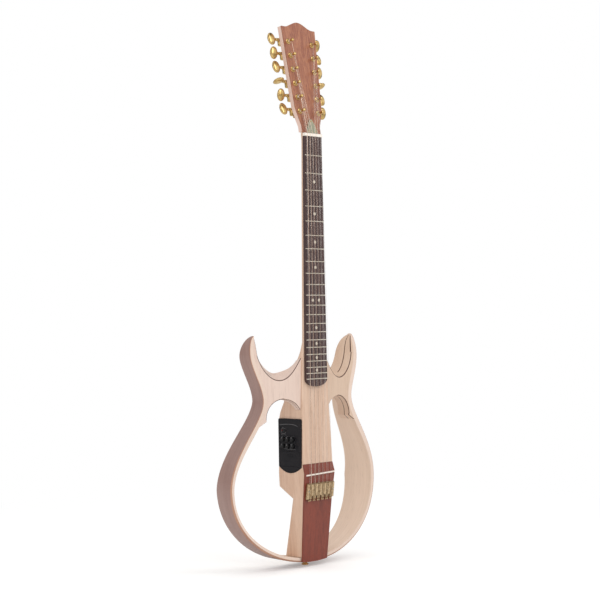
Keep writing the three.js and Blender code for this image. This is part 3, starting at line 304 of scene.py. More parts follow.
# %% Metal group
metal_inputs = {"Bright": tint(228, 190, 105), "Dull": tint(178, 138, 66), "Patches": 160.0}
metal_inputs |= {"Hair": 2600.0, "Smooth": 0.16, "Rough": 0.34}
handled_metal, given, gives = new_group("handled_metal", metal_inputs)
tree, place = handled_metal, given["Place"]
patch = spread(tree, noise(tree, place, given["Patches"], 4.0, 0.6), 0.38, 0.7)
hair = noise(tree, stretched(tree, place, 0.08), given["Hair"], 2.0, 0.5)
worn = spread(tree, patch, 0.0, 1.0, given["Smooth"], given["Rough"])
rough = plus(tree, worn, times(tree, minus(tree, hair, 0.5), 0.1))
colour = between_colours(tree, patch, given["Bright"], given["Dull"])
fill(gives, {"Color": colour, "Roughness": rough, "Height": hair})

# %% [markdown]
# ## Moulded plastic
#
# The preamp is moulded in fine matt plastic. Under a lens its skin is a field of tiny bumps, which
# is why it never shows a sharp reflection. A fine noise as height, with a second one for faint dust,
# gives that without modelling a single bump.

# %% Plastic group
skin_inputs = {"Tone": tint(40, 40, 45), "Dust": tint(74, 73, 76)}
skin_inputs |= {"Grain": 2400.0, "Dusty": 0.25, "Matt": 0.5}
moulded_skin, given, gives = new_group("moulded_skin", skin_inputs)
tree, place = moulded_skin, given["Place"]
film = spread(tree, noise(tree, place, 95.0, 5.0, 0.65), 0.45, 0.75)
colour = between_colours(tree, times(tree, film, given["Dusty"]), given["Tone"], given["Dust"])
rough = plus(tree, given["Matt"], times(tree, film, 0.12))
bumps = noise(tree, place, given["Grain"], 2.0, 0.5)
fill(gives, {"Color": colour, "Roughness": rough, "Height": bumps})


# %% [markdown]
# ## The finishes
#
# Every finish names where it is: object coordinates are metres in the same frame as the measured
# model, so the grain is life-size and runs along the instrument. On the bent frames the grain must
# follow the bend, so those pieces carry their own map, whose second number is the way along the rim.

# %% Making one material from a group
def finish(name, group, values, height=0.0002, strength=0.2, along_map=False, shader=None):
    material, tree, principled = new_material(name, shader or {})
    place = node(tree, "TexCoord").outputs["UV" if along_map else "Object"]
    if along_map:
        parts = node(tree, "SeparateXYZ", None, {0: place}).outputs
        place = node(tree, "CombineXYZ", None, {"X": parts["X"], "Z": parts["Y"]}).outputs[0]
    made = node(tree, "Group", {"node_tree": group}, {"Place": place} | values).outputs
    relief = {"Strength": strength, "Distance": height, "Height": made["Height"]}
    normal = node(tree, "Bump", None, relief).outputs["Normal"]
    surface = {"Base Color": made["Color"], "Roughness": made["Roughness"], "Normal": normal}
    fill(principled.inputs, surface)
    return material


lacquer = {"Coat Weight": 0.12, "Coat Roughness": 0.3}


def wood_finish(name, light, dark, bands, figure, along_map=False, coat=lacquer, **more):
    values = {"Light": tint(*light), "Dark": tint(*dark), "Bands": bands, "Figure": figure}
    values |= {"Satin": 0.45, "Lines": 5.0, "Length": 0.08, "Fibres": 0.4, "Pores": 0.3}
    values |= {label.capitalize(): value for label, value in more.items()}
    return finish(name, wood_grain, values, along_map=along_map, shader=coat)


def bent_wood(*tones, **more):
    return wood_finish(*tones, along_map=True, **more)


def metal_finish(name, bright, dull, smooth, rough, patches=160.0, metal=1.0):
    values = {"Bright": tint(*bright), "Dull": tint(*dull), "Patches": patches}
    values |= {"Smooth": smooth, "Rough": rough}
    return finish(name, handled_metal, values, 0.00002, 0.15, shader={"Metallic": metal})


def plastic_finish(name, tone, dust, matt, grain=2400.0, dusty=0.25, height=0.00003, gloss=0.3):
    values = {"Tone": tint(*tone), "Dust": tint(*dust), "Matt": matt, "Grain": grain, "Dusty": dusty}
    return finish(name, moulded_skin, values, height, 0.5, shader={"Specular IOR Level": gloss})


# %% Woods
beam_wood = wood_finish("beam_wood", (229, 198, 175), (203, 163, 135), 70.0, 0.24)
plate_wood = wood_finish("plate_wood", (232, 208, 194), (218, 190, 175), 45.0, 0.16)
# The treble plate is the same wood as the bass plate; this darker, tanner copy is painted shade for the
# side that gets less light.
painted_shade_plate_wood = wood_finish("painted_shade_plate_wood", (220, 192, 169), (204, 172, 147), 45.0, 0.16)
rim_inner_wood = bent_wood("rim_inner_wood", (236, 212, 192), (220, 194, 172), 45.0, 0.16)
rim_outer_wood = bent_wood("rim_outer_wood", (163, 129, 119), (139, 105, 97), 60.0, 0.2)
rim_edge_wood = bent_wood("rim_edge_wood", (235, 212, 196), (222, 195, 177), 50.0, 0.14)
veneer_edge = bent_wood("veneer_edge", (190, 144, 118), (164, 116, 94), 90.0, 0.2, coat=None)
line_wood = wood_finish("line_wood", (96, 60, 44), (66, 40, 30), 160.0, 0.3, coat=None)
open_pores = {"pores": 0.6, "fibres": 0.5}
tail_wood = wood_finish("tail_wood", (140, 60, 39), (104, 42, 28), 70.0, 0.3, **open_pores)
board_wood = wood_finish(
    "board_wood", (84, 57, 55), (48, 30, 31), 90.0, 0.4, coat=None, satin=0.52, **open_pores
)
striped = {"lines": 6.0, "length": 0.03, "satin": 0.36}
head_wood = wood_finish("head_wood", (184, 122, 88), (139, 76, 55), 105.0, 0.62, **striped)
head_side_wood = wood_finish("head_side_wood", (240, 208, 194), (218, 182, 166), 60.0, 0.3)

# %% Metals, plastics, pearl and bone
gold = metal_finish("gold", (226, 196, 136), (186, 148, 84), 0.14, 0.3)
pin_gold = metal_finish("pin_gold", (255, 204, 134), (240, 178, 104), 0.3, 0.45, metal=0.25)
aged_brass = metal_finish("aged_brass", (212, 187, 150), (166, 136, 102), 0.26, 0.46, 260.0)
fret_metal = metal_finish("fret_metal", (230, 222, 208), (196, 186, 168), 0.16, 0.3)
plain_wire = metal_finish("plain_wire", (226, 218, 212), (190, 178, 170), 0.3, 0.44)
bronze_wire = metal_finish("bronze_wire", (222, 200, 184), (184, 156, 138), 0.24, 0.4)
screw_steel = metal_finish("screw_steel", (196, 190, 178), (150, 142, 130), 0.2, 0.36)
matt_black = plastic_finish("matt_black", (20, 19, 25), (29, 28, 33), 0.58)
knob_black = plastic_finish("knob_black", (14, 14, 17), (30, 29, 32), 0.4)
print_grey = plastic_finish("print_grey", (120, 120, 123), (92, 92, 95), 0.5)
lamp_red = plastic_finish("lamp_red", (84, 26, 26), (70, 30, 30), 0.25)
board_green = plastic_finish("board_green", (47, 90, 60), (70, 105, 78), 0.35)
cell_grey = plastic_finish("cell_grey", (118, 118, 124), (96, 96, 100), 0.4)
bone = plastic_finish("bone", (250, 241, 230), (236, 222, 206), 0.34, 900.0, 0.5, 0.00001)
shell = {"grain": 260.0, "height": 0.00002, "gloss": 0.5}
pearl = plastic_finish("pearl", (152, 156, 132), (186, 176, 150), 0.22, dusty=0.9, **shell)
dot_shell = plastic_finish("dot_shell", (228, 218, 200), (206, 196, 178), 0.25, dusty=0.8, **shell)
print("finishes:", len(bpy.data.materials))

# %% [markdown]
# ## From measurements to meshes
#
# All lengths below are in millimetres, measured from the middle of the nut's lower edge: x towards
# the thin strings, y away from the listener, z up. Blender's objects are in metres and start at the
# end pin, so one function shifts and scales every point. The head leans back by nine degrees, and
# its pieces have a function of their own. Outlines and turned profiles are drawn flat, as a and b,
# with d for the depth: further functions lay them towards the listener, outward on the bass side,
# along the end pin or on the head.

# %% Places
head_tilt = radians(9)
tilt_cos, tilt_sin = cos(head_tilt), sin(head_tilt)


pin_drop, pin_depth = 831.8, 41.0
scale_length, tail_level = 648, 823
saddle_level, drop_per_side = 650, 2.4 / 78.4


def spot(x, y, z):
    return Vector((x, y - pin_depth, z + pin_drop)) / 1000


def head_spot(x, y, z):
    return spot(x, 3 + y * tilt_cos + z * tilt_sin, z * tilt_cos - y * tilt_sin)


def facing(a, b, d):
    return spot(a, d, b)


def outward(a, b, d):
    return spot(d, a, b)


def pin_axis(a, b, d):
    return spot(a, pin_depth + b, d - pin_drop)


def head_at(x, level):
    return lambda a, b, d: head_spot(x + a, d, level + b)


def mix(low, high, share):
    return low + (high - low) * share


def quarter(x, y, wide, deep, start, steps):
    turns = [radians(start + 90 * i / steps) for i in range(steps + 1)]
    return [(x + wide * cos(t), y + deep * sin(t)) for t in turns]


def along(table, level):
    if level <= table[0][0]:
        return table[0][1]
    for (level_0, value_0), (level_1, value_1) in zip(table, table[1:]):
        if level <= level_1:
            return mix(value_0, value_1, (level - level_0) / (level_1 - level_0))
    return table[-1][1]


# %% [markdown]
# A piece is gathered from simple shapes before it becomes one mesh: a skin through rings of points,
# a turned profile, or a slab with an outline. Building them from point lists gives exact control of
# every edge, and a Bevel modifier then breaks the edges as a file or sandpaper would.

# %% Gathering shapes into a piece
class Gathered:
    def __init__(self):
        self.points, self.faces, self.finishes = [], [], []

    def add(self, points, faces, finish_number=0):
        start = len(self.points)
        self.points += [tuple(p) for p in points]
        self.faces += [tuple(start + corner for corner in face) for face in faces]
        self.finishes += [finish_number] * len(faces)
        return self

    def skin(self, rings, finish_number=0, capped=True):
        size = len(rings[0])
        faces = []
        for i in range(len(rings) - 1):
            for j in range(size):
                k = (j + 1) % size
                faces.append((i * size + j, i * size + k, (i + 1) * size + k, (i + 1) * size + j))
        if capped:
            last = (len(rings) - 1) * size
            faces += [tuple(range(size))[::-1], tuple(last + j for j in range(size))]
        return self.add([p for ring in rings for p in ring], faces, finish_number)

    def turned(self, place, profile, sides=32, finish_number=0, ribs=0.0):
        rings = []
        for radius, distance in profile:
            ring = []
            for i in range(sides):
                turn, size = 2 * pi * i / sides, max(radius, 0.01) * (1 - ribs * (i % 2))
                ring.append(place(size * cos(turn), size * sin(turn), distance))
            rings.append(ring)
        return self.skin(rings, finish_number)

    def slab(self, place, outline, low, high, finish_number=0):
        return self.skin([[place(a, b, d) for a, b in outline] for d in (low, high)], finish_number)


# %% A mesh with outward faces and broken edges
def mesh_of(name, shape, finishes):
    mesh = bpy.data.meshes.new(name)
    mesh.from_pydata(shape.points, [], shape.faces)
    for material in finishes:
        mesh.materials.append(material)
    mesh.polygons.foreach_set("material_index", shape.finishes)
    return mesh


def face_outwards(mesh, weld=None):
    work = bmesh.new()
    work.from_mesh(mesh)
    if weld:
        bmesh.ops.remove_doubles(work, verts=work.verts, dist=weld)
    bmesh.ops.recalc_face_normals(work, faces=work.faces)
    work.to_mesh(mesh)
    work.free()


def break_edges(piece, size, segments=2, angle=40):
    bevel = piece.modifiers.new("broken_edges", "BEVEL")
    bevel.width, bevel.segments, bevel.limit_method = size / 1000, segments, "ANGLE"
    bevel.angle_limit, bevel.harden_normals = radians(angle), True


# %% A piece that rides on its body
def make_piece(name, shape, finishes, slot, *standing, **edges):
    mesh = mesh_of(name, shape, finishes)
    face_outwards(mesh, weld=2e-7)
    return dress(name, mesh, slot, *standing, **edges)


def dress(name, mesh, slot, stands_for=None, body="root", sharp=32, rounding=0.0, segments=2):
    mesh.shade_smooth()
    mesh.set_sharp_from_angle(angle=radians(sharp))
    piece = in_scene(name, mesh)
    if rounding:
        break_edges(piece, rounding, segments, 34)
    if slot:
        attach(piece, body)
        if stands_for:
            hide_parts(stands_for)
    return piece


# %% Cutting a piece with other shapes
def carved(piece, shapes, operation="DIFFERENCE"):
    tools = [make_piece("tool", shape, [line_wood], None) for shape in shapes]
    for tool in tools:
        cut = piece.modifiers.new("cut", "BOOLEAN")
        cut.operation, cut.solver, cut.object = operation, "EXACT", tool
    seen = bpy.context.evaluated_depsgraph_get()
    seen.update()
    mesh = bpy.data.meshes.new_from_object(piece.evaluated_get(seen))
    piece.modifiers.clear()
    piece.data = mesh
    mesh.set_sharp_from_angle(angle=radians(32))
    for tool in tools:
        bpy.data.objects.remove(tool)
    return piece


# %% [markdown]
# ## The side frames
#
# Each side of the real body is one long strip of wood, bent from the tip of the horn round the waist
# and the wide bout to the tail, with a darker veneer outside. It could be a curve with a bevel, but
# its depth and lean change all the way. So the outline is walked in equal steps, a rounded section
# is set across it at each step, and the sections are skinned.

# %% The outline of one side
sides = (("treble", 1), ("bass", -1))
horn_tip, horn_bulge, waist = (136, -381), (149, -416), (123.5, -505)
bout, tail_end = (201, -671), (0, -tail_level)
outline_curves = [
    (horn_tip, (143.15, -382.75), (149, -400.25), horn_bulge),
    (horn_bulge, (149, -447.15), (123.5, -478.3), waist),
    (waist, (123.5, -544.84), (201, -601.28), bout),
    (bout, (201, -760.68), (112.56, -tail_level), tail_end),
]


def bezier(curve, share):
    rest = 1 - share
    weights = (rest**3, 3 * rest**2 * share, 3 * rest * share**2, share**3)
    return tuple(sum(w * p[k] for w, p in zip(weights, curve)) for k in (0, 1))


walk = [bezier(curve, i / 160) for curve in outline_curves for i in range(161)]
reached = [0.0]
for (x0, z0), (x1, z1) in zip(walk, walk[1:]):
    reached.append(reached[-1] + hypot(x1 - x0, z1 - z0))
rim_length = reached[-1]


def outline_at(share):
    wanted = min(max(share, 0.0), 1.0) * rim_length
    i = max(1, next((k for k, v in enumerate(reached) if v >= wanted), len(walk) - 1))
    while reached[i] - reached[i - 1] < 1e-9:
        i += 1 if i < len(walk) - 1 else -1
    step = (wanted - reached[i - 1]) / (reached[i] - reached[i - 1])
    return tuple(mix(walk[i - 1][k], walk[i][k], step) for k in (0, 1))


def outline_way(share):
    (x0, z0), (x1, z1) = outline_at(share - 0.004), outline_at(share + 0.004)
    size = hypot(x1 - x0, z1 - z0)
    return ((x1 - x0) / size, (z1 - z0) / size)


print("length of one rim, mm:", round(rim_length, 1))

# %% Depth and front of a frame
rim_depths = [(416, 41.0), (505, 38.0), (671, 60.0), (tail_level, 54.0)]
full_thickness, slim_thickness = 10.5, 8.6


def rim_depth(z):
    past = min(max(1 - (-z - 381) / 50, 0.0), 1.0)
    return mix(7.0, along(rim_depths, -z), (1 - past**2) ** 0.8)


def front_at(x, z):
    lean = max(0.0, (z + 480) / 99)
    return 17.0 + 17.0 * (x / 201) ** 2 + 9 * lean**1.5


def rim_spot(share, inset, back):
    (x, z), (way_x, way_z) = outline_at(share), outline_way(share)
    half = (x + way_z * inset) * (1 - 0.09 * back / 60)
    return max(0.05, half), front_at(x, z) + back, z - way_x * inset


# %% Thickness and section of a frame
def eased(way):
    held = min(max(way, 0), 1)
    return held * held * (3 - 2 * held)


def lower_share(share):
    return eased((share - 0.31) / 0.3)


def rim_thick(share):
    tip = min(1.0, 0.32 + share / 0.03)
    return mix(full_thickness, slim_thickness, lower_share(share)) * tip


def rim_section(depth, thick, share):
    front, rear = min(1.1, depth / 4, thick / 3), min(0.9, depth / 4, thick / 3)
    outer = front + 2.2 * lower_share(share)
    corners = [(outer, outer, outer, 180), (thick - front, front, front, 270)]
    corners += [(thick - rear, depth - rear, rear, 0), (rear, depth - rear, rear, 90)]
    return [p for x, y, size, start in corners for p in quarter(x, y, size, size, start, 4)]


# %% Two side frames
def side_frame(side, hand, stations=230):
    rings, lengths, rounds = [], [], []
    for i in range(stations + 1):
        share = i / stations
        z = outline_at(share)[1]
        section = rim_section(rim_depth(z), rim_thick(share), share)
        rings.append([spot(hand * x, y, z) for x, y, z in (rim_spot(share, *s) for s in section)])
        lengths.append(share * rim_length / 1000)
        rounds.append([(inset + back) / 1000 for inset, back in section])
    shape = Gathered().skin(rings)
    size, outer_side, edge, inner_side, front_corner = len(rings[0]), 0, 1, 2, 3
    around = [front_corner] * 4 + [edge] * 5 + [inner_side] + [edge] * 9 + [outer_side]
    shape.finishes = around * stations + [edge, edge]
    woods = (rim_outer_wood, rim_edge_wood, rim_inner_wood, veneer_edge)
    mesh = mesh_of(side + "_rim", shape, woods)
    grain_map = mesh.uv_layers.new(name="grain")
    for face in mesh.polygons:
        for loop in face.loop_indices:
            i, j = divmod(mesh.loops[loop].vertex_index, size)
            grain_map.data[loop].uv = (rounds[i][j] + hand, lengths[i])
    face_outwards(mesh)
    return dress(side + "_rim", mesh, "pale_wood", side + "_frame", sharp=40)


for side, hand in sides:
    rim = side_frame(side, hand)
    print(rim.name, "faces:", len(rim.data.polygons))

# %% [markdown]
# ## The shoulder plates
#
# Two plates join the beam to the frames. Above, a hollow lets the hand reach the highest frets, and
# its wall slants far inwards like the side of a bowl; below, an arch leaves a small hooked spur.
# Cutting holes in a box would leave hard, flat edges. Here the front and rear outlines are drawn point
# by point, the wall between them is skinned in many thin rows, and the faces are filled with an even
# net of points, so that the gentle curve of the front shows no creases. Along the free edges, a dark
# wood covers the rounded front edge and, except in the inner part of the hollow, one thin middle row.

# %% Width of the beam, and curves
beam_half = [(-9, 25), (0, 23.8), (395, 29.75), (428, 34.5), (481, 35.8), (543, 38.6)]
beam_half += [(630, 40.8), (648, 41.8), (698, 39.4), (tail_level, 35)]


def curve(*points, steps=12):
    found = []
    for i in range(steps + 1):
        share, left = i / steps, list(points)
        while len(left) > 1:
            left = [tuple(mix(a[k], b[k], share) for k in (0, 1)) for a, b in zip(left, left[1:])]
        found.append(left[0])
    return found


def rim_inside(z):
    return next(x for x, low in walk if low <= z or low < -700) - full_thickness


# %% Front and back of a plate
def plate_front(x, z):
    near = along(beam_half, -z)
    reach = min(max((x - near) / (rim_inside(z) - near), 0), 1)
    return mix(9.0, front_at(x + full_thickness * reach, z), sin(reach * pi / 2))


def plate_back(share, x, z):
    near = along(beam_half, -z)
    thick = mix(14, 32, eased((x - near) / 50))
    return share * min(thick, 0.72 * rim_depth(z))


front_hollow = [
    [(34.6, -424), (46, -440), (60, -466.5), (84, -466.5)],
    [(84, -466.5), (104, -466.5), (124, -446), (131, -420)],
    [(131, -420), (133, -408), (132, -392)],
]
rear_hollow = [
    [(34.6, -430), (47, -448), (72, -453.2)],
    [(72, -453.2), (86, -454), (98, -440), (106, -427)],
    [(106, -427), (114, -412), (113, -392)],
]


def beam_edge(z):
    return (along(beam_half, -z) + 0.3, z)


# %% The edge of a plate, and how round it is at each point
arch_middle, arch_height, spur_tip = (76, -541), 38, (115.5, -544.04)


def shoulder_outline(hollow, share):
    tip = rim_spot(0.002, 2.2, plate_back(share, *outline_at(0.002)))
    inner, outer = (curve(*points, steps=26)[1:] for points in hollow[:2])
    horn = curve(*hollow[2], (tip[0], tip[2]), steps=16)[1:]
    edge = []
    for i in range(61):
        at = mix(0.006, 22 / 72, (i / 60) ** 1.3)
        edge.append(rim_spot(at, min(9.6, rim_thick(at) * 0.8), plate_back(share, *outline_at(at))))
    arch = quarter(*arch_middle, 39.5, arch_height, 0, 26)
    far_arch = quarter(*arch_middle, 41, arch_height, 90, 26)[1:]
    beam_arch = [p for p in far_arch if p[0] > beam_edge(p[1])[0] + 0.6]
    foot, top = far_arch[len(beam_arch)][1], hollow[0][0][1] - 0.5
    joint = [beam_edge(mix(foot, top, i / 30)) for i in range(31)]
    runs = [(joint, 0.12), (inner + outer, 1.3), (horn, 1.0), ([(x, z) for x, _, z in edge], 0.12)]
    runs += [([spur_tip], 1.0), (arch, 1.5), (beam_arch, 1.0)]
    return [(x, z, size) for points, size in runs for x, z in points]


def inset_outline(outline, share):
    area = sum(a[0] * b[1] - b[0] * a[1] for a, b in zip(outline, outline[1:] + outline[:1]))
    inward = 1 if area > 0 else -1
    moved = []
    for i, (x, z, size) in enumerate(outline):
        (x0, z0, _), (x1, z1, _) = outline[i - 1], outline[(i + 1) % len(outline)]
        length = max(hypot(x1 - x0, z1 - z0), 1e-6)
        normal = (-(z1 - z0) / length * inward, (x1 - x0) / length * inward)
        moved.append((x + normal[0] * size * share, z + normal[1] * size * share))
    return moved


# %% Filling a face with an even net
def inside(x, z, outline):
    crossings = 0
    for (x0, z0), (x1, z1) in zip(outline, outline[1:] + outline[:1]):
        if (z0 > z) != (z1 > z) and x < x0 + (z - z0) / (z1 - z0) * (x1 - x0):
            crossings += 1
    return crossings % 2


def filled(outline, step=5.0, margin=1.6):
    xs, zs = [p[0] for p in outline], [p[1] for p in outline]
    points = [Vector(p) for p in outline]
    counts = [int((max(values) - min(values)) / step) for values in (xs, zs)]
    for x in [min(xs) + step * i for i in range(1, counts[0] + 1)]:
        for z in [min(zs) + step * i for i in range(1, counts[1] + 1)]:
            near = min((x - a) ** 2 + (z - b) ** 2 for a, b in outline)
            if near > margin**2 and inside(x, z, outline):
                points.append(Vector((x, z)))
    result = delaunay_2d_cdt(points, [], [list(range(len(outline)))], 1, 1e-5)
    return result[0], result[2]


# %% Two shoulder plates
def shoulder_plate(side, hand):
    front, rear = shoulder_outline(front_hollow, 0), shoulder_outline(rear_hollow, 1)
    shape = Gathered()

    def ring(share, inward):
        pairs = zip(front, rear)
        blend = [(mix(a[0], b[0], share), mix(a[1], b[1], share), a[2]) for a, b in pairs]
        return share, inset_outline(blend, inward)

    def on_plate(points, share):
        fronts = [(x, z, plate_front(x, z) + plate_back(share, x, z)) for x, z in points]
        return [spot(hand * x, y, z) for x, z, y in fronts]

    rounded = [(1 - sin(radians(t)), 1 - cos(radians(t))) for t in (0, 30, 60, 90)]
    plate_depth = 30
    levels = [(back / plate_depth, inward) for inward, back in rounded]
    levels += [(share, 0.0) for share in (0.075, 0.2, 0.3, 0.4, 0.45, 0.6, 0.7, 0.8, 0.9)]
    levels += [(1 - back / plate_depth, inward) for inward, back in reversed(rounded)]
    rings = [ring(share, inward) for share, inward in levels]
    shape.skin([on_plate(line, share) for share, line in rings], capped=False)
    size = len(front)
    # Rows of wall faces that get the dark wood: across the rounded front edge, and one thin row near
    # the middle of the wall.
    for j in range(size):
        if max(front[j][2], front[(j + 1) % size][2]) > 0.5:
            x, z, size_here = front[j]
            dark_rows = (0, 1, 2) if size_here > 1.2 else (1, 2, 3)
            dark_rows += () if z > -500 and x < 99 else (7,)
            for i in dark_rows:
                shape.finishes[i * size + j] = 1
    for share, line in (rings[0], rings[-1]):
        points, faces = filled(line)
        shape.add(on_plate(points, share), faces)
    # The treble plate takes the copy of the plate wood with painted shade.
    woods = [painted_shade_plate_wood if side == "treble" else plate_wood, line_wood]
    return make_piece(side + "_shoulder_plate", shape, woods, "pale_wood", side + "_shoulder")


for side, hand in sides:
    plate = shoulder_plate(side, hand)
    print(plate.name, "faces:", len(plate.data.polygons))

# %% [markdown]
# ## The neck and the centre beam
#
# One long piece of wood carries everything, from the scarf joint under the head to the tail. Its
# section changes from a rounded neck to a deep, square beam, so it can't be one simple shape that is
# scaled. Instead a section is drawn at many levels and a skin is drawn over them: the width, the
# front, the back and the rounding of the rear corners each follow a short table.

# %% Sections of the beam
beam_front = [(481, 6.1), (629.7, 0.9), (630, 4.0), (648, -0.8), (698, 5.5), (tail_level, 17.0)]
heel_ways = (0.12, 0.22, 0.3, 0.4, 0.58, 0.79, 0.92)
heel = zip(heel_ways, (0.06, 0.16, 0.37, 0.55, 0.63, 0.77, 0.95))
beam_back = [(-9, 14.65), (0, 17.5), (395, 21.5)]
beam_back += [(mix(395, 543, way), mix(21.5, 70, deep)) for way, deep in heel]
beam_back += [(543, 70), (676, 70), (698, 34.5), (tail_level, 63)]
heel_rounds = zip(heel_ways, (0.85, 0.65, 0.5, 0.38, 0.25, 0.15, 0.1))
beam_round = [(-9, 0.75), (9, 0.97), (395, 0.97)]
beam_round += [(mix(395, 543, way), share) for way, share in heel_rounds] + [(543, 0)]


def beam_section(level):
    half, front, back = (along(table, level) for table in (beam_half, beam_front, beam_back))
    share = along(beam_round, level)
    wide, deep = max(5, share * half), max(5, share * (back - front))
    side = quarter(half - 1, front + 1, 1, 1, -90, 3)
    side += quarter(half - wide, back - deep, wide, deep, 0, 14)
    section = side + [(-x, y) for x, y in reversed(side)]
    if level >= 0:
        return [(x, y, -level) for x, y in section]
    return [(x, y, -level / tilt_cos - (y - 3) * tan(head_tilt)) for x, y in section]


def tail_shape(inset, depth_share):
    line = []
    for i in range(61):
        share = mix(0.6, 1, i / 60)
        x, _, z = rim_spot(share, inset, depth_share * rim_depth(outline_at(share)[1]))
        line.append((x if i < 60 else 0, z))
    half = [(line[0][0], 60)] + line
    outline = half + [(-x, z) for x, z in reversed(half[:-1])]
    return Gathered().slab(facing, outline, -40, 140)


def block(x, y, z, place=spot):
    corners = [(x[0], z[0]), (x[1], z[0]), (x[1], z[1]), (x[0], z[1])]
    return Gathered().slab(lambda a, b, d: place(a, d, b), corners, *y)


# %% Openings cut into the beam
def panel_outline(grow=0.0):
    front, back, top, side = 5.6 - grow, 67 + grow, grow - 543, -636 - grow
    sag = 4 * (12 + grow)
    low = [(mix(front, back, i / 16), side - sag * (i / 16) * (1 - i / 16)) for i in range(17)]
    left = quarter(front + 3, top - 3, 3, 3, 90, 4)
    return left + low + quarter(back - 3, top - 3, 3, 3, 0, 4)


def saddle_spot(a, b, d):
    turn = atan2(2.4, 78.4)
    x, z = a * cos(turn) - b * sin(turn), a * sin(turn) + b * cos(turn)
    return spot(0.8 + x, d, z - saddle_level)


beam_tables = (beam_half, beam_front, beam_back, beam_round)
beam_levels = sorted({level for table in beam_tables for level, _ in table} | set(range(10, 820, 10)))
beam_levels = [low for high, low in zip([-99] + beam_levels, beam_levels) if low - high > 0.2]
beam_shape = Gathered().skin([[spot(*p) for p in beam_section(level)] for level in beam_levels])
beam = make_piece("neck_and_beam", beam_shape, [beam_wood], "tan_wood", "neck_beam", sharp=30)
panel_pocket = Gathered().slab(outward, panel_outline(0.3), -60, -37.9)
case_pocket = block((-38.5, -7.9), (8.6, 64.8), (-637.8, -549.7))
saddle_slot = block((-39.5, 39.5), (-9, 3), (-1.7, 1.7), saddle_spot)
pin_hole = Gathered().turned(pin_axis, [(6.3, -3), (6.3, 46)], 40)
carved(beam, [tail_shape(8.9, 1)], "INTERSECT")
carved(beam, [panel_pocket, case_pocket, saddle_slot, pin_hole])
print("beam faces:", len(beam.data.polygons))

# %% [markdown]
# ## The red plate
#
# A thin plate of darker wood lies over the bridge end. It rises to a ridge under the saddle and then
# slopes down to the tail, where it follows the round of the frames. It is drawn as four levels and
# trimmed by the outline of the frames, and its edges are broken just enough to catch a line of light.

# %% Plate over the bridge and the tail
plate_levels = [(630, 0.9), (648, -3.9), (698, 2.4), (tail_level, 13.9)]
plate_rings = []
for level, front in plate_levels:
    half = along(beam_half, level)
    corners = ((-half, 0), (half, 0), (half, 2.8), (-half, 2.8))
    plate_rings.append([spot(x, front + y, -level) for x, y in corners])
plate_shape = Gathered().skin(plate_rings)
red_plate = make_piece("red_plate", plate_shape, [tail_wood], "red_wood", "tail_plate")
carved(red_plate, [tail_shape(0.3, 0)], "INTERSECT")
carved(red_plate, [block((-39.5, 39.5), (-9, 9), (-1.7, 1.7), saddle_spot)])
break_edges(red_plate, 0.6)
print("plate faces:", len(red_plate.data.polygons))

# %% [markdown]
# ## Fingerboard, frets and dots
#
# The frets divide the string: each one leaves the same share of the length before it, which is why
# they close up towards the body. The board widens along its way and is very slightly crowned. Fret
# wire has a round bead, so each fret is a small arched bar that follows the crown.

# %% Fingerboard
def board_width(level):
    return mix(47.6, 59.5, level / 481)


def crown(x, level):
    return 0.5 * (x / (board_width(level) / 2)) ** 2


def board_ring(level, half):
    across = [mix(-half + 0.5, half - 0.5, i / 12) for i in range(13)]
    top = [(x, crown(x, level)) for x in across]
    low = crown(half, level) + 0.5
    sides = [(half, low), (half, 5.8), (-half, 5.8), (-half, low)]
    return [spot(x, y, -level) for x, y in top + sides]


board_levels = [0.3, *range(20, 460, 20), 466]
board_rings = [board_ring(level, board_width(level) / 2) for level in board_levels]
for step in range(1, 13):
    turn = radians(mix(0, 86, step / 12))
    board_rings.append(board_ring(466 + 15 * sin(turn), 29.75 * cos(turn)))
board_shape = Gathered().skin(board_rings)
make_piece("fingerboard", board_shape, [board_wood], "dark_wood", "fingerboard", sharp=30)

# %% Frets
fret_levels = [scale_length * (1 - 2 ** (-n / 12)) for n in range(1, 23)]


def fret_wire(shape, level):
    half = board_width(level) / 2 - 0.6
    bead = [(0.45, 1.2), (-0.25, 1.15), (-0.75, 0.85), (-1.05, 0.35), (-1.1, 0)]
    bead += [(y, -z) for y, z in reversed(bead[:-1])]
    rings = []
    for i in range(9):
        x = mix(-half, half, i / 8)
        drop = 0.55 if i in (0, 8) else 0
        rings.append([spot(x, y * (1 - drop) + crown(x, level), z - level) for y, z in bead])
    shape.skin(rings)


wires = Gathered()
for level in fret_levels:
    fret_wire(wires, level)
make_piece("frets", wires, [fret_metal], "dark_wood", sharp=50)

# %% Position dots
dots = Gathered()
edges = [0.0] + fret_levels
for number in (3, 5, 7, 9, 12, 15, 17, 19, 21):
    level = (edges[number - 1] + edges[number]) / 2
    for x in (-8.5, 8.5) if number == 12 else (0,):
        dots.turned(
            lambda a, b, d, x=x, z=-level: spot(x + a, d + crown(x + a, -z), z + b),
            [(3, 0.4), (3, -0.06)],
            28,
        )
make_piece("position_dots", dots, [dot_shell], "dark_wood", sharp=50)
print("frets:", len(fret_levels), "last at", round(fret_levels[-1], 1), "mm")

# %% [markdown]
# ## Nut, saddle and tailpiece
#
# The strings rest on two pieces of bone, so both are shaped for them: the nut has a round notch for
# each string, and the saddle a rounded top that slants, because thick strings need a little more
# length. Below, a cast tailpiece holds the balls at the string ends in a comb of grooves.

# %% Where the strings run
thickest = 0.62
shares = (0.26, 1, 0.28, 0.78, 0.3, 0.58, 0.24, 0.46, 0.3, 0.3, 0.24, 0.24)
string_radii = [thickest * share for share in shares]
print("string radii, mm:", [round(r, 2) for r in string_radii])


def string_x(number, reach, gap):
    return (number // 2) * (reach - gap) / 5 + (number % 2) * gap - reach / 2


saddle_x = [string_x(number, 62, 3.6) for number in range(12)]
nut_x = [string_x(number, 40.5, 2.2) for number in range(12)]
nut_rise, post_waist = 1.0, 2.2


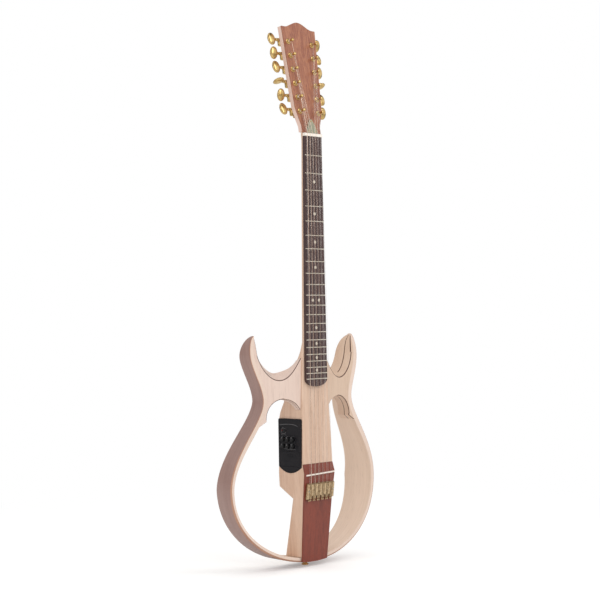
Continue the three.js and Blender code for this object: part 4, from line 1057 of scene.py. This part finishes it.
def head_edge(level):
    return mix(36.8, 46.2, (level - 56) / 158)


def wind_start(number):
    return 3.4 if number == 0 else 6.5


tuner_levels = [48 + 27.3 * i for i in range(6)]
tuner_places = [(z, mix(25.5, 32.7, i / 5), head_edge(z)) for i, z in enumerate(tuner_levels)]

# %% Nut and saddle
nut_section = [(0.3, 5.8), (0, 5.4), (0, -0.9), (0.6, -1.6)]
nut_section += [(4.2, -1.6), (6, -0.5), (6, 5.4), (5.7, 5.8)]
nut_ends = [(-23.8, 0.5), (-23.4, 0.0), (23.4, 0.0), (23.8, 0.5)]
nut_rings = []
for x, less in nut_ends:
    nut_rings.append([spot(x, mix(y, 2.4, less / 8), mix(z, 3, less / 8)) for z, y in nut_section])
nut_piece = make_piece("nut_of_bone", Gathered().skin(nut_rings), [bone], "ivory", "nut", sharp=50)
notches = Gathered()
for x, radius in zip(nut_x, string_radii):
    size = radius + 0.08
    notches.turned(
        lambda a, b, d, x=x, r=radius: spot(x + a, b - nut_rise - r, d), [(size, -2), (size, 9)], 16
    )
carved(nut_piece, [notches])

saddle_section = [(-1.4, 1.0), (-1.4, -5.7), (-1.1, -6.4), (-0.5, -6.75), (0, -6.8)]
saddle_section += [(-b, d) for b, d in reversed(saddle_section[:-1])]
saddle_rings = []
for a, less in ((-39.2, 0.2), (-38.4, 0), (-30, 0), (0, 0), (30, 0), (38.4, 0), (39.2, 0.2)):
    saddle_rings.append([saddle_spot(a, b * (1 - less), mix(d, -2.9, less)) for b, d in saddle_section])
make_piece("saddle_of_bone", Gathered().skin(saddle_rings), [bone], "ivory", "saddle", sharp=40)


# %% Tailpiece
def tail_back(level):
    return 2.1 - 0.126 * (698 - level)


def tail_face(level):
    return tail_back(level) - 6


def across(a, b, d):
    return spot(d, b, -a)


plate_side = [(667, tail_back(667)), (698, tail_back(698)), (698, tail_face(698) + 1.2)]
plate_side += [(697.2, tail_face(697)), (669.5, tail_face(669.5)), (667, tail_face(667) + 2.5)]
comb_shape = Gathered().slab(across, plate_side, -36.6, 36.6)
tailpiece = make_piece("tailpiece_comb", comb_shape, [aged_brass], "aged_brass", "tailpiece")
comb, gaps = Gathered(), Gathered()
groove = [(664, tail_face(664) - 3), (701, tail_face(701) - 3)]
groove += [(701, tail_face(701) + 3), (664, tail_face(664) + 3)]
for x in saddle_x:
    comb.slab(across, groove, x - 0.75, x + 0.75)
notch = [(691.5, -20), (702, -20), (702, 20), (691.5, 20)]
for left, right_hand in zip(saddle_x[1::2], saddle_x[2::2]):
    middle = (left + right_hand) / 2
    gaps.slab(across, notch, middle - 1.7, middle + 1.7)
carved(tailpiece, [comb, gaps])
break_edges(tailpiece, 0.35)
fixing, screw_level = Gathered(), 682.5
face, screw = tail_face(screw_level), [(1.5, 0.4), (1.5, -0.3), (1.2, -0.6), (0.5, -0.6)]
for x in (-33.9, 33.9):
    fixing.turned(lambda a, b, d, x=x: spot(x + a, face + d, b - screw_level), screw, 20)
make_piece("tailpiece_screws", fixing, [screw_steel], "aged_brass")
print("tailpiece faces:", len(tailpiece.data.polygons))

# %% [markdown]
# ## The strings
#
# Each string is one thin tube that passes the same places as the real one: the ball in the
# tailpiece, the crest of the saddle, the notch in the nut and the side of its post. The thin string
# of a pair is plain steel and the thick one is wrapped with bronze. The turns round a post are a
# separate piece that rides on it, so that they go round when the tuning key is turned.

# %% String tubes
def tube(shape, path, radius, sides=8, finish_number=0):
    rings = []
    for i, here in enumerate(path):
        way = (path[min(i + 1, len(path) - 1)] - path[max(i - 1, 0)]).normalized()
        across = way.cross(Vector((0, 1, 0)) if abs(way.y) < 0.9 else Vector((1, 0, 0))).normalized()
        other = way.cross(across)
        turns = [2 * pi * j / sides for j in range(sides)]
        ring = [across * cos(t) + other * sin(t) for t in turns]
        rings.append([here + offset * (radius / 1000) for offset in ring])
    return shape.skin(rings, finish_number)


# %% The way of one string
ball_level, groove_depth = 700.2, 2.08


def string_path(number):
    radius, bass = string_radii[number], number < 6
    index = number if bass else 11 - number
    level, post_x, _ = tuner_places[index]
    side = post_x - post_waist - radius - 0.3
    x, slant = saddle_x[number], drop_per_side * (saddle_x[number] - 0.8)
    return [
        spot(x, tail_face(698) + groove_depth, -ball_level),
        spot(x, tail_face(667) + groove_depth, -667),
        spot(x, -6.4 - radius, slant - 651.2),
        spot(x, -6.8 - radius, slant - 650),
        spot(x, -6.75 - radius, slant - 648.8),
        spot(nut_x[number], -nut_rise - radius, 0),
        spot(nut_x[number], -nut_rise - radius, 4.5),
        spot(nut_x[number], -0.7 - radius, 6),
        head_spot(-side if bass else side, -wind_start(index), level),
    ]


ball = [(0.7, -1.35), (1.6, -1.35), (1.9, -1.1), (1.9, -0.5), (1.5, 0)]
ball += [(radius, -d) for radius, d in reversed(ball[:-1])]
for course in range(6):
    pair, strings = (2 * course, 2 * course + 1), Gathered()
    wound = 1 if course < 4 else 0
    for number in pair:
        tube(strings, string_path(number), string_radii[number], 8, wound * (number % 2))
        x, y = saddle_x[number], tail_face(698) + groove_depth
        strings.turned(lambda a, b, d, x=x, y=y: spot(x + d, y + a, b - ball_level), ball, 16, 2)
    materials, slot = [plain_wire, bronze_wire, aged_brass], "bronze" if wound else "steel"
    make_piece(f"strings_{6 - course}", strings, materials, slot, f"course_{6 - course}")

# %% [markdown]
# ## The head
#
# The head is a separate piece, glued on at a slant, with a striped veneer on its face. The outline is
# narrow at the nut, widens quickly and then slowly, and ends in a wide crest. Both layers are the same
# outline pushed to two depths, and their edges are broken by a small bevel.

# %% Outline of the head
def head_outline(low):
    side = [(25, low), (25, 20)] + curve((25, 20), (33.0, 40.9), (36.8, 56))[1:]
    crest = curve((37, 214), (25.4, 214), (13.9, 225.8), (0, 225.8), steps=20)
    side += [(46.2, 214)] + crest
    return side + [(-x, z) for x, z in reversed(side[:-1])]


head_place = head_at(0, 0)
core = Gathered().slab(head_place, head_outline(9.3), 1.8, 10.5)
head_core = make_piece("head_core", core, [head_side_wood], "tan_wood", "headstock")
face = Gathered().slab(head_place, head_outline(6.6), 0, 1.5)
head_face = make_piece("head_veneer", face, [head_wood], "head_wood", "headstock_veneer")
for layer in (head_core, head_face):
    holes = Gathered()
    for level, x, _ in tuner_places:
        for at in (x, -x):
            holes.turned(head_at(at, level), [(4.7, -3), (4.7, 14)], 24)
    rod_pocket = block((-3.6, 3.6), (-3, 10.2), (3, 24), head_spot)
    carved(layer, [holes, rod_pocket])
    break_edges(layer, 0.4)
print("head faces:", len(head_core.data.polygons) + len(head_face.data.polygons))

# %% Cover over the end of the truss rod
half_cover = curve((14, 6.6), (14, 17.9), (2.8, 33.6), steps=14)
cover_line = half_cover + [(-x, z) for x, z in reversed(half_cover)]
cover = Gathered().slab(head_place, cover_line, -1.9, -0.3)
make_piece("rod_cover", cover, [pearl], "pearl", "truss_rod_cover", sharp=50, rounding=0.5, segments=3)
cover_screws, dome = Gathered(), [(1.5, -1.8), (1.5, -2.0), (1.1, -2.35), (0.4, -2.45)]
for x, z in ((-9.8, 9.8), (9.8, 9.8), (0, 30)):
    cover_screws.turned(head_at(x, z), dome, 18)
make_piece("rod_cover_screws", cover_screws, [gold], "pearl")

# %% [markdown]
# ## Tuning machines
#
# Behind the head, each key turns a worm, the worm turns a small gear wheel, and the wheel turns the
# post. Twelve copies of one model would all look alike, so the knobs stand at the odd angles of the
# real ones. Keys and posts are separate pieces because they turn about different lines, and each
# rides on its own body of the measured model.

# %% Pipes, and the line that a key turns about
def pipe(shape, place, section, sides=28, finish_number=0):
    rings = []
    for i in range(sides + 1):
        turn = 2 * pi * i / sides
        rings.append([place(r * cos(turn), r * sin(turn), d) for r, d in section])
    return shape.skin(rings, finish_number, capped=False)


key_depth, key_rise = 15.4, 6.3


def key_axis(hand, level, x=0):
    return lambda a, b, d: head_spot(hand * (x + d), key_depth + a, level + key_rise + b)


# %% A key with its knob, shaft and worm
def key_piece(side, hand, number, turn):
    level, x, edge = tuner_places[number]
    place = key_axis(hand, level, x)
    near, nose = edge + 8.5 - x, edge + 3 - x
    worm = [(1.4, -4), (2.1, -3.6)]
    for i in range(9):
        worm += [(2.1, -3.4 + 0.8 * i), (1.75, -3.1 + 0.8 * i), (2.1, -2.8 + 0.8 * i)]
    shaft = worm + [(1.6, 4.1), (1.6, nose), (2.6, nose), (3, nose + 0.4), (3, nose + 1.6)]
    shaft += [(2.3, nose + 2.1), (2.1, nose + 2.8)]
    shaft += [(2.4, near - 1.6), (3, near - 0.8), (2.9, near + 2)]
    shape = Gathered().turned(place, shaft, 26)
    angle, rings = radians(turn), []
    for i in range(19):
        way = -cos(pi * mix(0.03, 0.97, i / 18))
        wide = 12 * (1 - abs(way) ** 2.3) ** (1 / 2.1)
        thick = 3.75 * (1 - abs(way) ** 3.2) ** (1 / 2.6)
        ring = []
        for j in range(32):
            t = 2 * pi * j / 32
            y, z = thick * cos(t), wide * sin(t)
            a = y * cos(angle) - z * sin(angle)
            b = y * sin(angle) + z * cos(angle)
            ring.append(place(a, b, near + 9 + 9 * way))
        rings.append(ring)
    shape.skin(rings)
    name = f"{side}_key_{number + 1}"
    return make_piece(f"{side}_tuning_key_{number + 1}", shape, [gold], "gold", name, name, sharp=50)


# %% A post with the turns of its string
def post_piece(side, hand, number):
    level, x, _ = tuner_places[number]

    def place(a, b, d):
        return head_spot(hand * (x + a), d, level + b)

    dome = [(1.2, -14), (2.3, -13.85), (2.8, -13.5), (3, -13), (3, -10.5), (2.6, -9.9), (2.2, -9.4)]
    stem = [(2.2, -2.9), (2.5, -2.5), (3, -2.0), (3, 13.7), (3.9, 13.7), (3.9, 17.1), (1, 17.1)]
    shape = Gathered().turned(place, dome + stem, 28)
    string = number if side == "bass" else 11 - number
    radius, rise, path = string_radii[string], 1 if number == 0 else -1, []
    reach = post_waist + radius
    for i in range(3 * 18 + 1):
        t = 2 * pi * i / 18
        height = wind_start(number) + rise * (2 * radius + 0.06) * i / 18
        path.append(place(-reach * cos(t), reach * sin(t), -height))
    wire = bronze_wire if string % 2 and string < 8 else plain_wire
    tube(shape, path, radius, 6, 1)
    name = f"{side}_post_{number + 1}"
    title = f"{side}_string_post_{number + 1}"
    return make_piece(title, shape, [gold, wire], "gold", name, name, sharp=50)


# %% A gear housing
def housing_piece(side, hand, number):
    level, x, edge = tuner_places[number]

    def box_between(xs, ys, zs):
        return block([hand * at for at in xs], ys, zs, head_spot)

    shell = box_between((x - 5.5, edge - 1), (12.1, 19.1), (level - 5.5, level + 10))
    name = f"{side}_gear_housing_{number + 1}"
    piece = make_piece(name, shell, [gold], "gold", rounding=1.5, segments=4)
    cavity = box_between((x - 4.3, edge - 2.2), (10, 17.9), (level - 4.3, level + 8.8))
    bore = Gathered().turned(key_axis(hand, level), [(2.1, x), (2.1, edge + 4)], 20)
    return carved(piece, [cavity, bore])


# %% A strip with its bushings, washers and screws
def side_fittings(side, hand):
    line = [(head_edge(z) - 2.2, z) for z in (37, 195.5)]
    line += [(x_at - 5.5, z) for x_at, z in ((32.7, 195.5), (25.5, 37))]
    strip = Gathered().slab(head_place, [(hand * a, b) for a, b in line], 10.8, 12.0)
    piece = make_piece(f"{side}_strip", strip, [gold], "gold", f"{side}_tuner_strip", rounding=0.3)
    holes, fittings = Gathered(), Gathered()
    for level, x, edge in tuner_places:
        front, sideways = head_at(hand * x, level), key_axis(hand, level)
        holes.turned(front, [(3.6, 9), (3.6, 14)], 24)
        washer = [(3.55, -0.3), (5.6, -0.3), (5.6, -0.75), (5.3, -0.95), (3.55, -0.95)]
        pipe(fittings, front, washer)
        pipe(fittings, front, [(3.55, -0.9), (5.0, -0.9), (5.0, -1.6), (4.6, -1.9), (3.55, -1.9)], 6)
        pipe(fittings, front, [(3.55, -0.4), (4.4, -0.4), (4.4, 12.0), (3.55, 12.0)])
        nose = [(2.1, edge - 2.1), (3.4, edge - 2.1), (3.4, edge + 1.4), (3.0, edge + 2.2)]
        pipe(fittings, sideways, nose + [(2.7, edge + 2.6), (2.1, edge + 2.6)])
        for a, b in ((x - 1, 13.2), (x + 3.5, -7.6)):
            screw = [(1.6, 11.9), (1.6, 12.4), (1.2, 12.9), (0.4, 13.0)]
            fittings.turned(head_at(hand * a, level + b), screw, 18)
    carved(piece, [holes])
    return make_piece(f"{side}_bushings", fittings, [gold], "gold", sharp=40)


# %% Twelve machines
knob_turns = {"treble": (12, -8, 75, 6, -14, 20), "bass": (-10, 14, 78, -6, 10, -4)}
for side, hand in sides:
    side_fittings(side, hand)
    for number in range(6):
        key_piece(side, hand, number, knob_turns[side][number])
        post_piece(side, hand, number)
        housing_piece(side, hand, number)
print("tuning machines:", 2 * len(tuner_places))

# %% [markdown]
# ## The preamp
#
# The controls sit in a black panel let into the deep side of the beam. Such a panel is moulded in one
# piece: a thin raised rim, a sunken field for the dials, round knobs with ribbed sides, and a drawer
# for the battery below. The marks round the dials are printed on the real one; here they are thin
# raised bars, which is enough to read as print from any distance.

# %% Panel
def about(y, level):
    return lambda a, b, d: spot(d, y + a, b - level)


dials = [(27, 582.5), (40, 582.5), (53, 582.5), (27, 596), (40, 596), (53, 596)]
dial_names = ("bass", "middle", "treble", "volume", "presence", "notch")
button_place, lamp_place = about(49.5, 566), about(57.5, 566)
panel_back, panel_face, field_face = -38.5, -41.6, -41.1
panel_shape = Gathered().slab(outward, panel_outline(), panel_back, panel_face)
panel = make_piece("control_panel", panel_shape, [matt_black], "black_plastic", "preamp_panel")
field_top = [(62, -557), (52, -555.6), (40, -555), (30, -555.2), (20, -556.6), (14.7, -559)]
field = field_top + [(14.7, -603.6), (62, -603.6)]
holes = Gathered()
for y, level in dials:
    holes.turned(about(y, level), [(3, -36), (3, -44)], 24)
holes.turned(button_place, [(3.1, -36), (3.1, -44)], 24)
mouth = [(9.6, -606.1), (63.8, -606.1), (63.8, -635.9), (9.6, -635.9)]
sunken = Gathered().slab(outward, field, field_face, -44)
carved(panel, [sunken, holes, Gathered().slab(outward, mouth, -36, -44)])
break_edges(panel, 0.5, 3)

# %% Knobs, button and lamp
for name, (y, level) in zip(dial_names, dials):
    place = about(y, level)
    grip = [(4.2, -42.0), (4.7, -42.3), (4.7, -46.2), (4.3, -46.8), (3.6, -47.0)]
    knob = Gathered().turned(place, grip, 48, ribs=0.05)
    knob.turned(place, [(2.6, -42.1), (2.6, -34.5)], 20)
    knob.slab(place, [(-0.45, 0.8), (0.45, 0.8), (0.45, 4.3), (-0.45, 4.3)], -46.6, -47.05, 1)
    knob.slab(place, [(-0.45, 4.0), (0.45, 4.0), (0.45, 4.85), (-0.45, 4.85)], -42.6, -46.7, 1)
    body = f"{name}_knob"
    make_piece(f"{name}_dial_knob", knob, [knob_black, print_grey], "black_plastic", body, body)
button = [(2.1, -43.2), (2.6, -43.0), (2.7, -42.5), (2.7, -38.2), (3.9, -38.2), (3.9, -35.3)]
press, body = Gathered().turned(button_place, button, 28), "tuner_button"
make_piece("tuner_press", press, [knob_black], "black_plastic", body, body, sharp=50)
lamp = Gathered().turned(lamp_place, [(1.6, -41.0), (1.6, -41.5), (1.1, -41.9), (0.4, -42.0)], 20)
make_piece("tuner_lamp", lamp, [lamp_red], "black_plastic")

# %% Marks round the dials and the lines of the panel
marks = Gathered()


def bar(points, width, face=field_face, rise=0.12):
    for (y0, z0), (y1, z1) in zip(points, points[1:]):
        long = hypot(y1 - y0, z1 - z0)
        a, b = -(z1 - z0) / long * width / 2, (y1 - y0) / long * width / 2
        corners = [(y0 + a, z0 + b), (y1 + a, z1 + b), (y1 - a, z1 - b), (y0 - a, z0 - b)]
        marks.slab(outward, corners, face + 0.1, face - rise)


for y, level in dials:
    for step in range(11):
        turn = radians(mix(-140, 140, step / 10))
        near = (y + 5.3 * sin(turn), 5.3 * cos(turn) - level)
        bar([near, (y + 6.3 * sin(turn), 6.3 * cos(turn) - level)], 0.4)
for radius in (5.0, 6.2):
    ring = [radians(360 * i / 28) for i in range(29)]
    bar([(53.5 + 1.15 * radius * cos(t), -567 + radius * sin(t)) for t in ring], 0.3)
bar([(y, z + 1.6) for y, z in field_top], 0.7, panel_face)
bar([(60, -574), (56, -572.6), (50, -573.2), (46, -575.4)], 0.5)
bar([(52, -602), (21, -602)], 0.5)
make_piece("dial_marks", marks, [print_grey], "black_plastic", sharp=50)
print("dials:", len(dials), "faces of their marks:", len(marks.faces))

# %% Battery drawer
drawer = Gathered()


def tray_wall(xs, ys, zs):
    drawer.slab(outward, [(ys[0], zs[0]), (ys[1], zs[0]), (ys[1], zs[1]), (ys[0], zs[1])], *xs)


near, far, upright = 10.95, 62.45, (-634.0, -607.6)
tray_wall((panel_face, panel_back), (10, 63.4), (-635.5, -606.5))
tray_wall((-38.6, -19.2), (near, far), (-635.1, -633.9))
tray_wall((-20.4, -19.2), (near, far), upright)
tray_wall((-38.6, -19.3), (near, 12.15), upright)
tray_wall((-38.6, -19.3), (61.25, far), upright)
for step in range(5):
    level = 611 + 1.6 * step
    tray_wall((-41.5, -41.95), (28.7, 44.7), (-level - 0.7, -level))
body = "battery_drawer"
make_piece("drawer_with_tray", drawer, [matt_black], "black_plastic", body, body, rounding=0.35)
print("drawer faces:", len(drawer.faces))

# %% [markdown]
# ## End pin and hidden pieces
#
# The pin at the tail holds the strap and is also the socket for the cable, so it has a deep bore.
# Some measured pieces stay as they are, because they are hidden in the wood or behind the panel:
# the truss rod, the strip under the saddle, the case, its circuit board and the battery. They only
# get their finishes, which is all that shows when the drawer is open.

# %% End pin
pin_profile = [(0.1, 33), (3.3, 33), (3.3, 0.5), (3.8, 0), (6.2, 0), (7, 0.7), (7, 1.7), (6.2, 2.4)]
pin_profile += [(5, 2.7), (4.6, 3.3), (4.6, 8.2), (5.4, 8.8), (6, 9.0), (6, 42.8), (0.1, 42.8)]
pin = Gathered().turned(pin_axis, pin_profile, 48)
pin_piece = make_piece("strap_pin", pin, [pin_gold], "gold", "end_pin_jack", sharp=40)
print("pin faces:", len(pin_piece.data.polygons))

# %% Finishes of the measured pieces that stay
kept = {"piezo_strip": aged_brass, "truss_rod": screw_steel, "circuit_board": board_green}
kept |= {"battery": cell_grey, "preamp_case": matt_black}
for name, material in kept.items():
    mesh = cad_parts[name].data
    mesh.materials.clear()
    mesh.materials.append(material)
print("kept from the measured model:", sorted(kept))
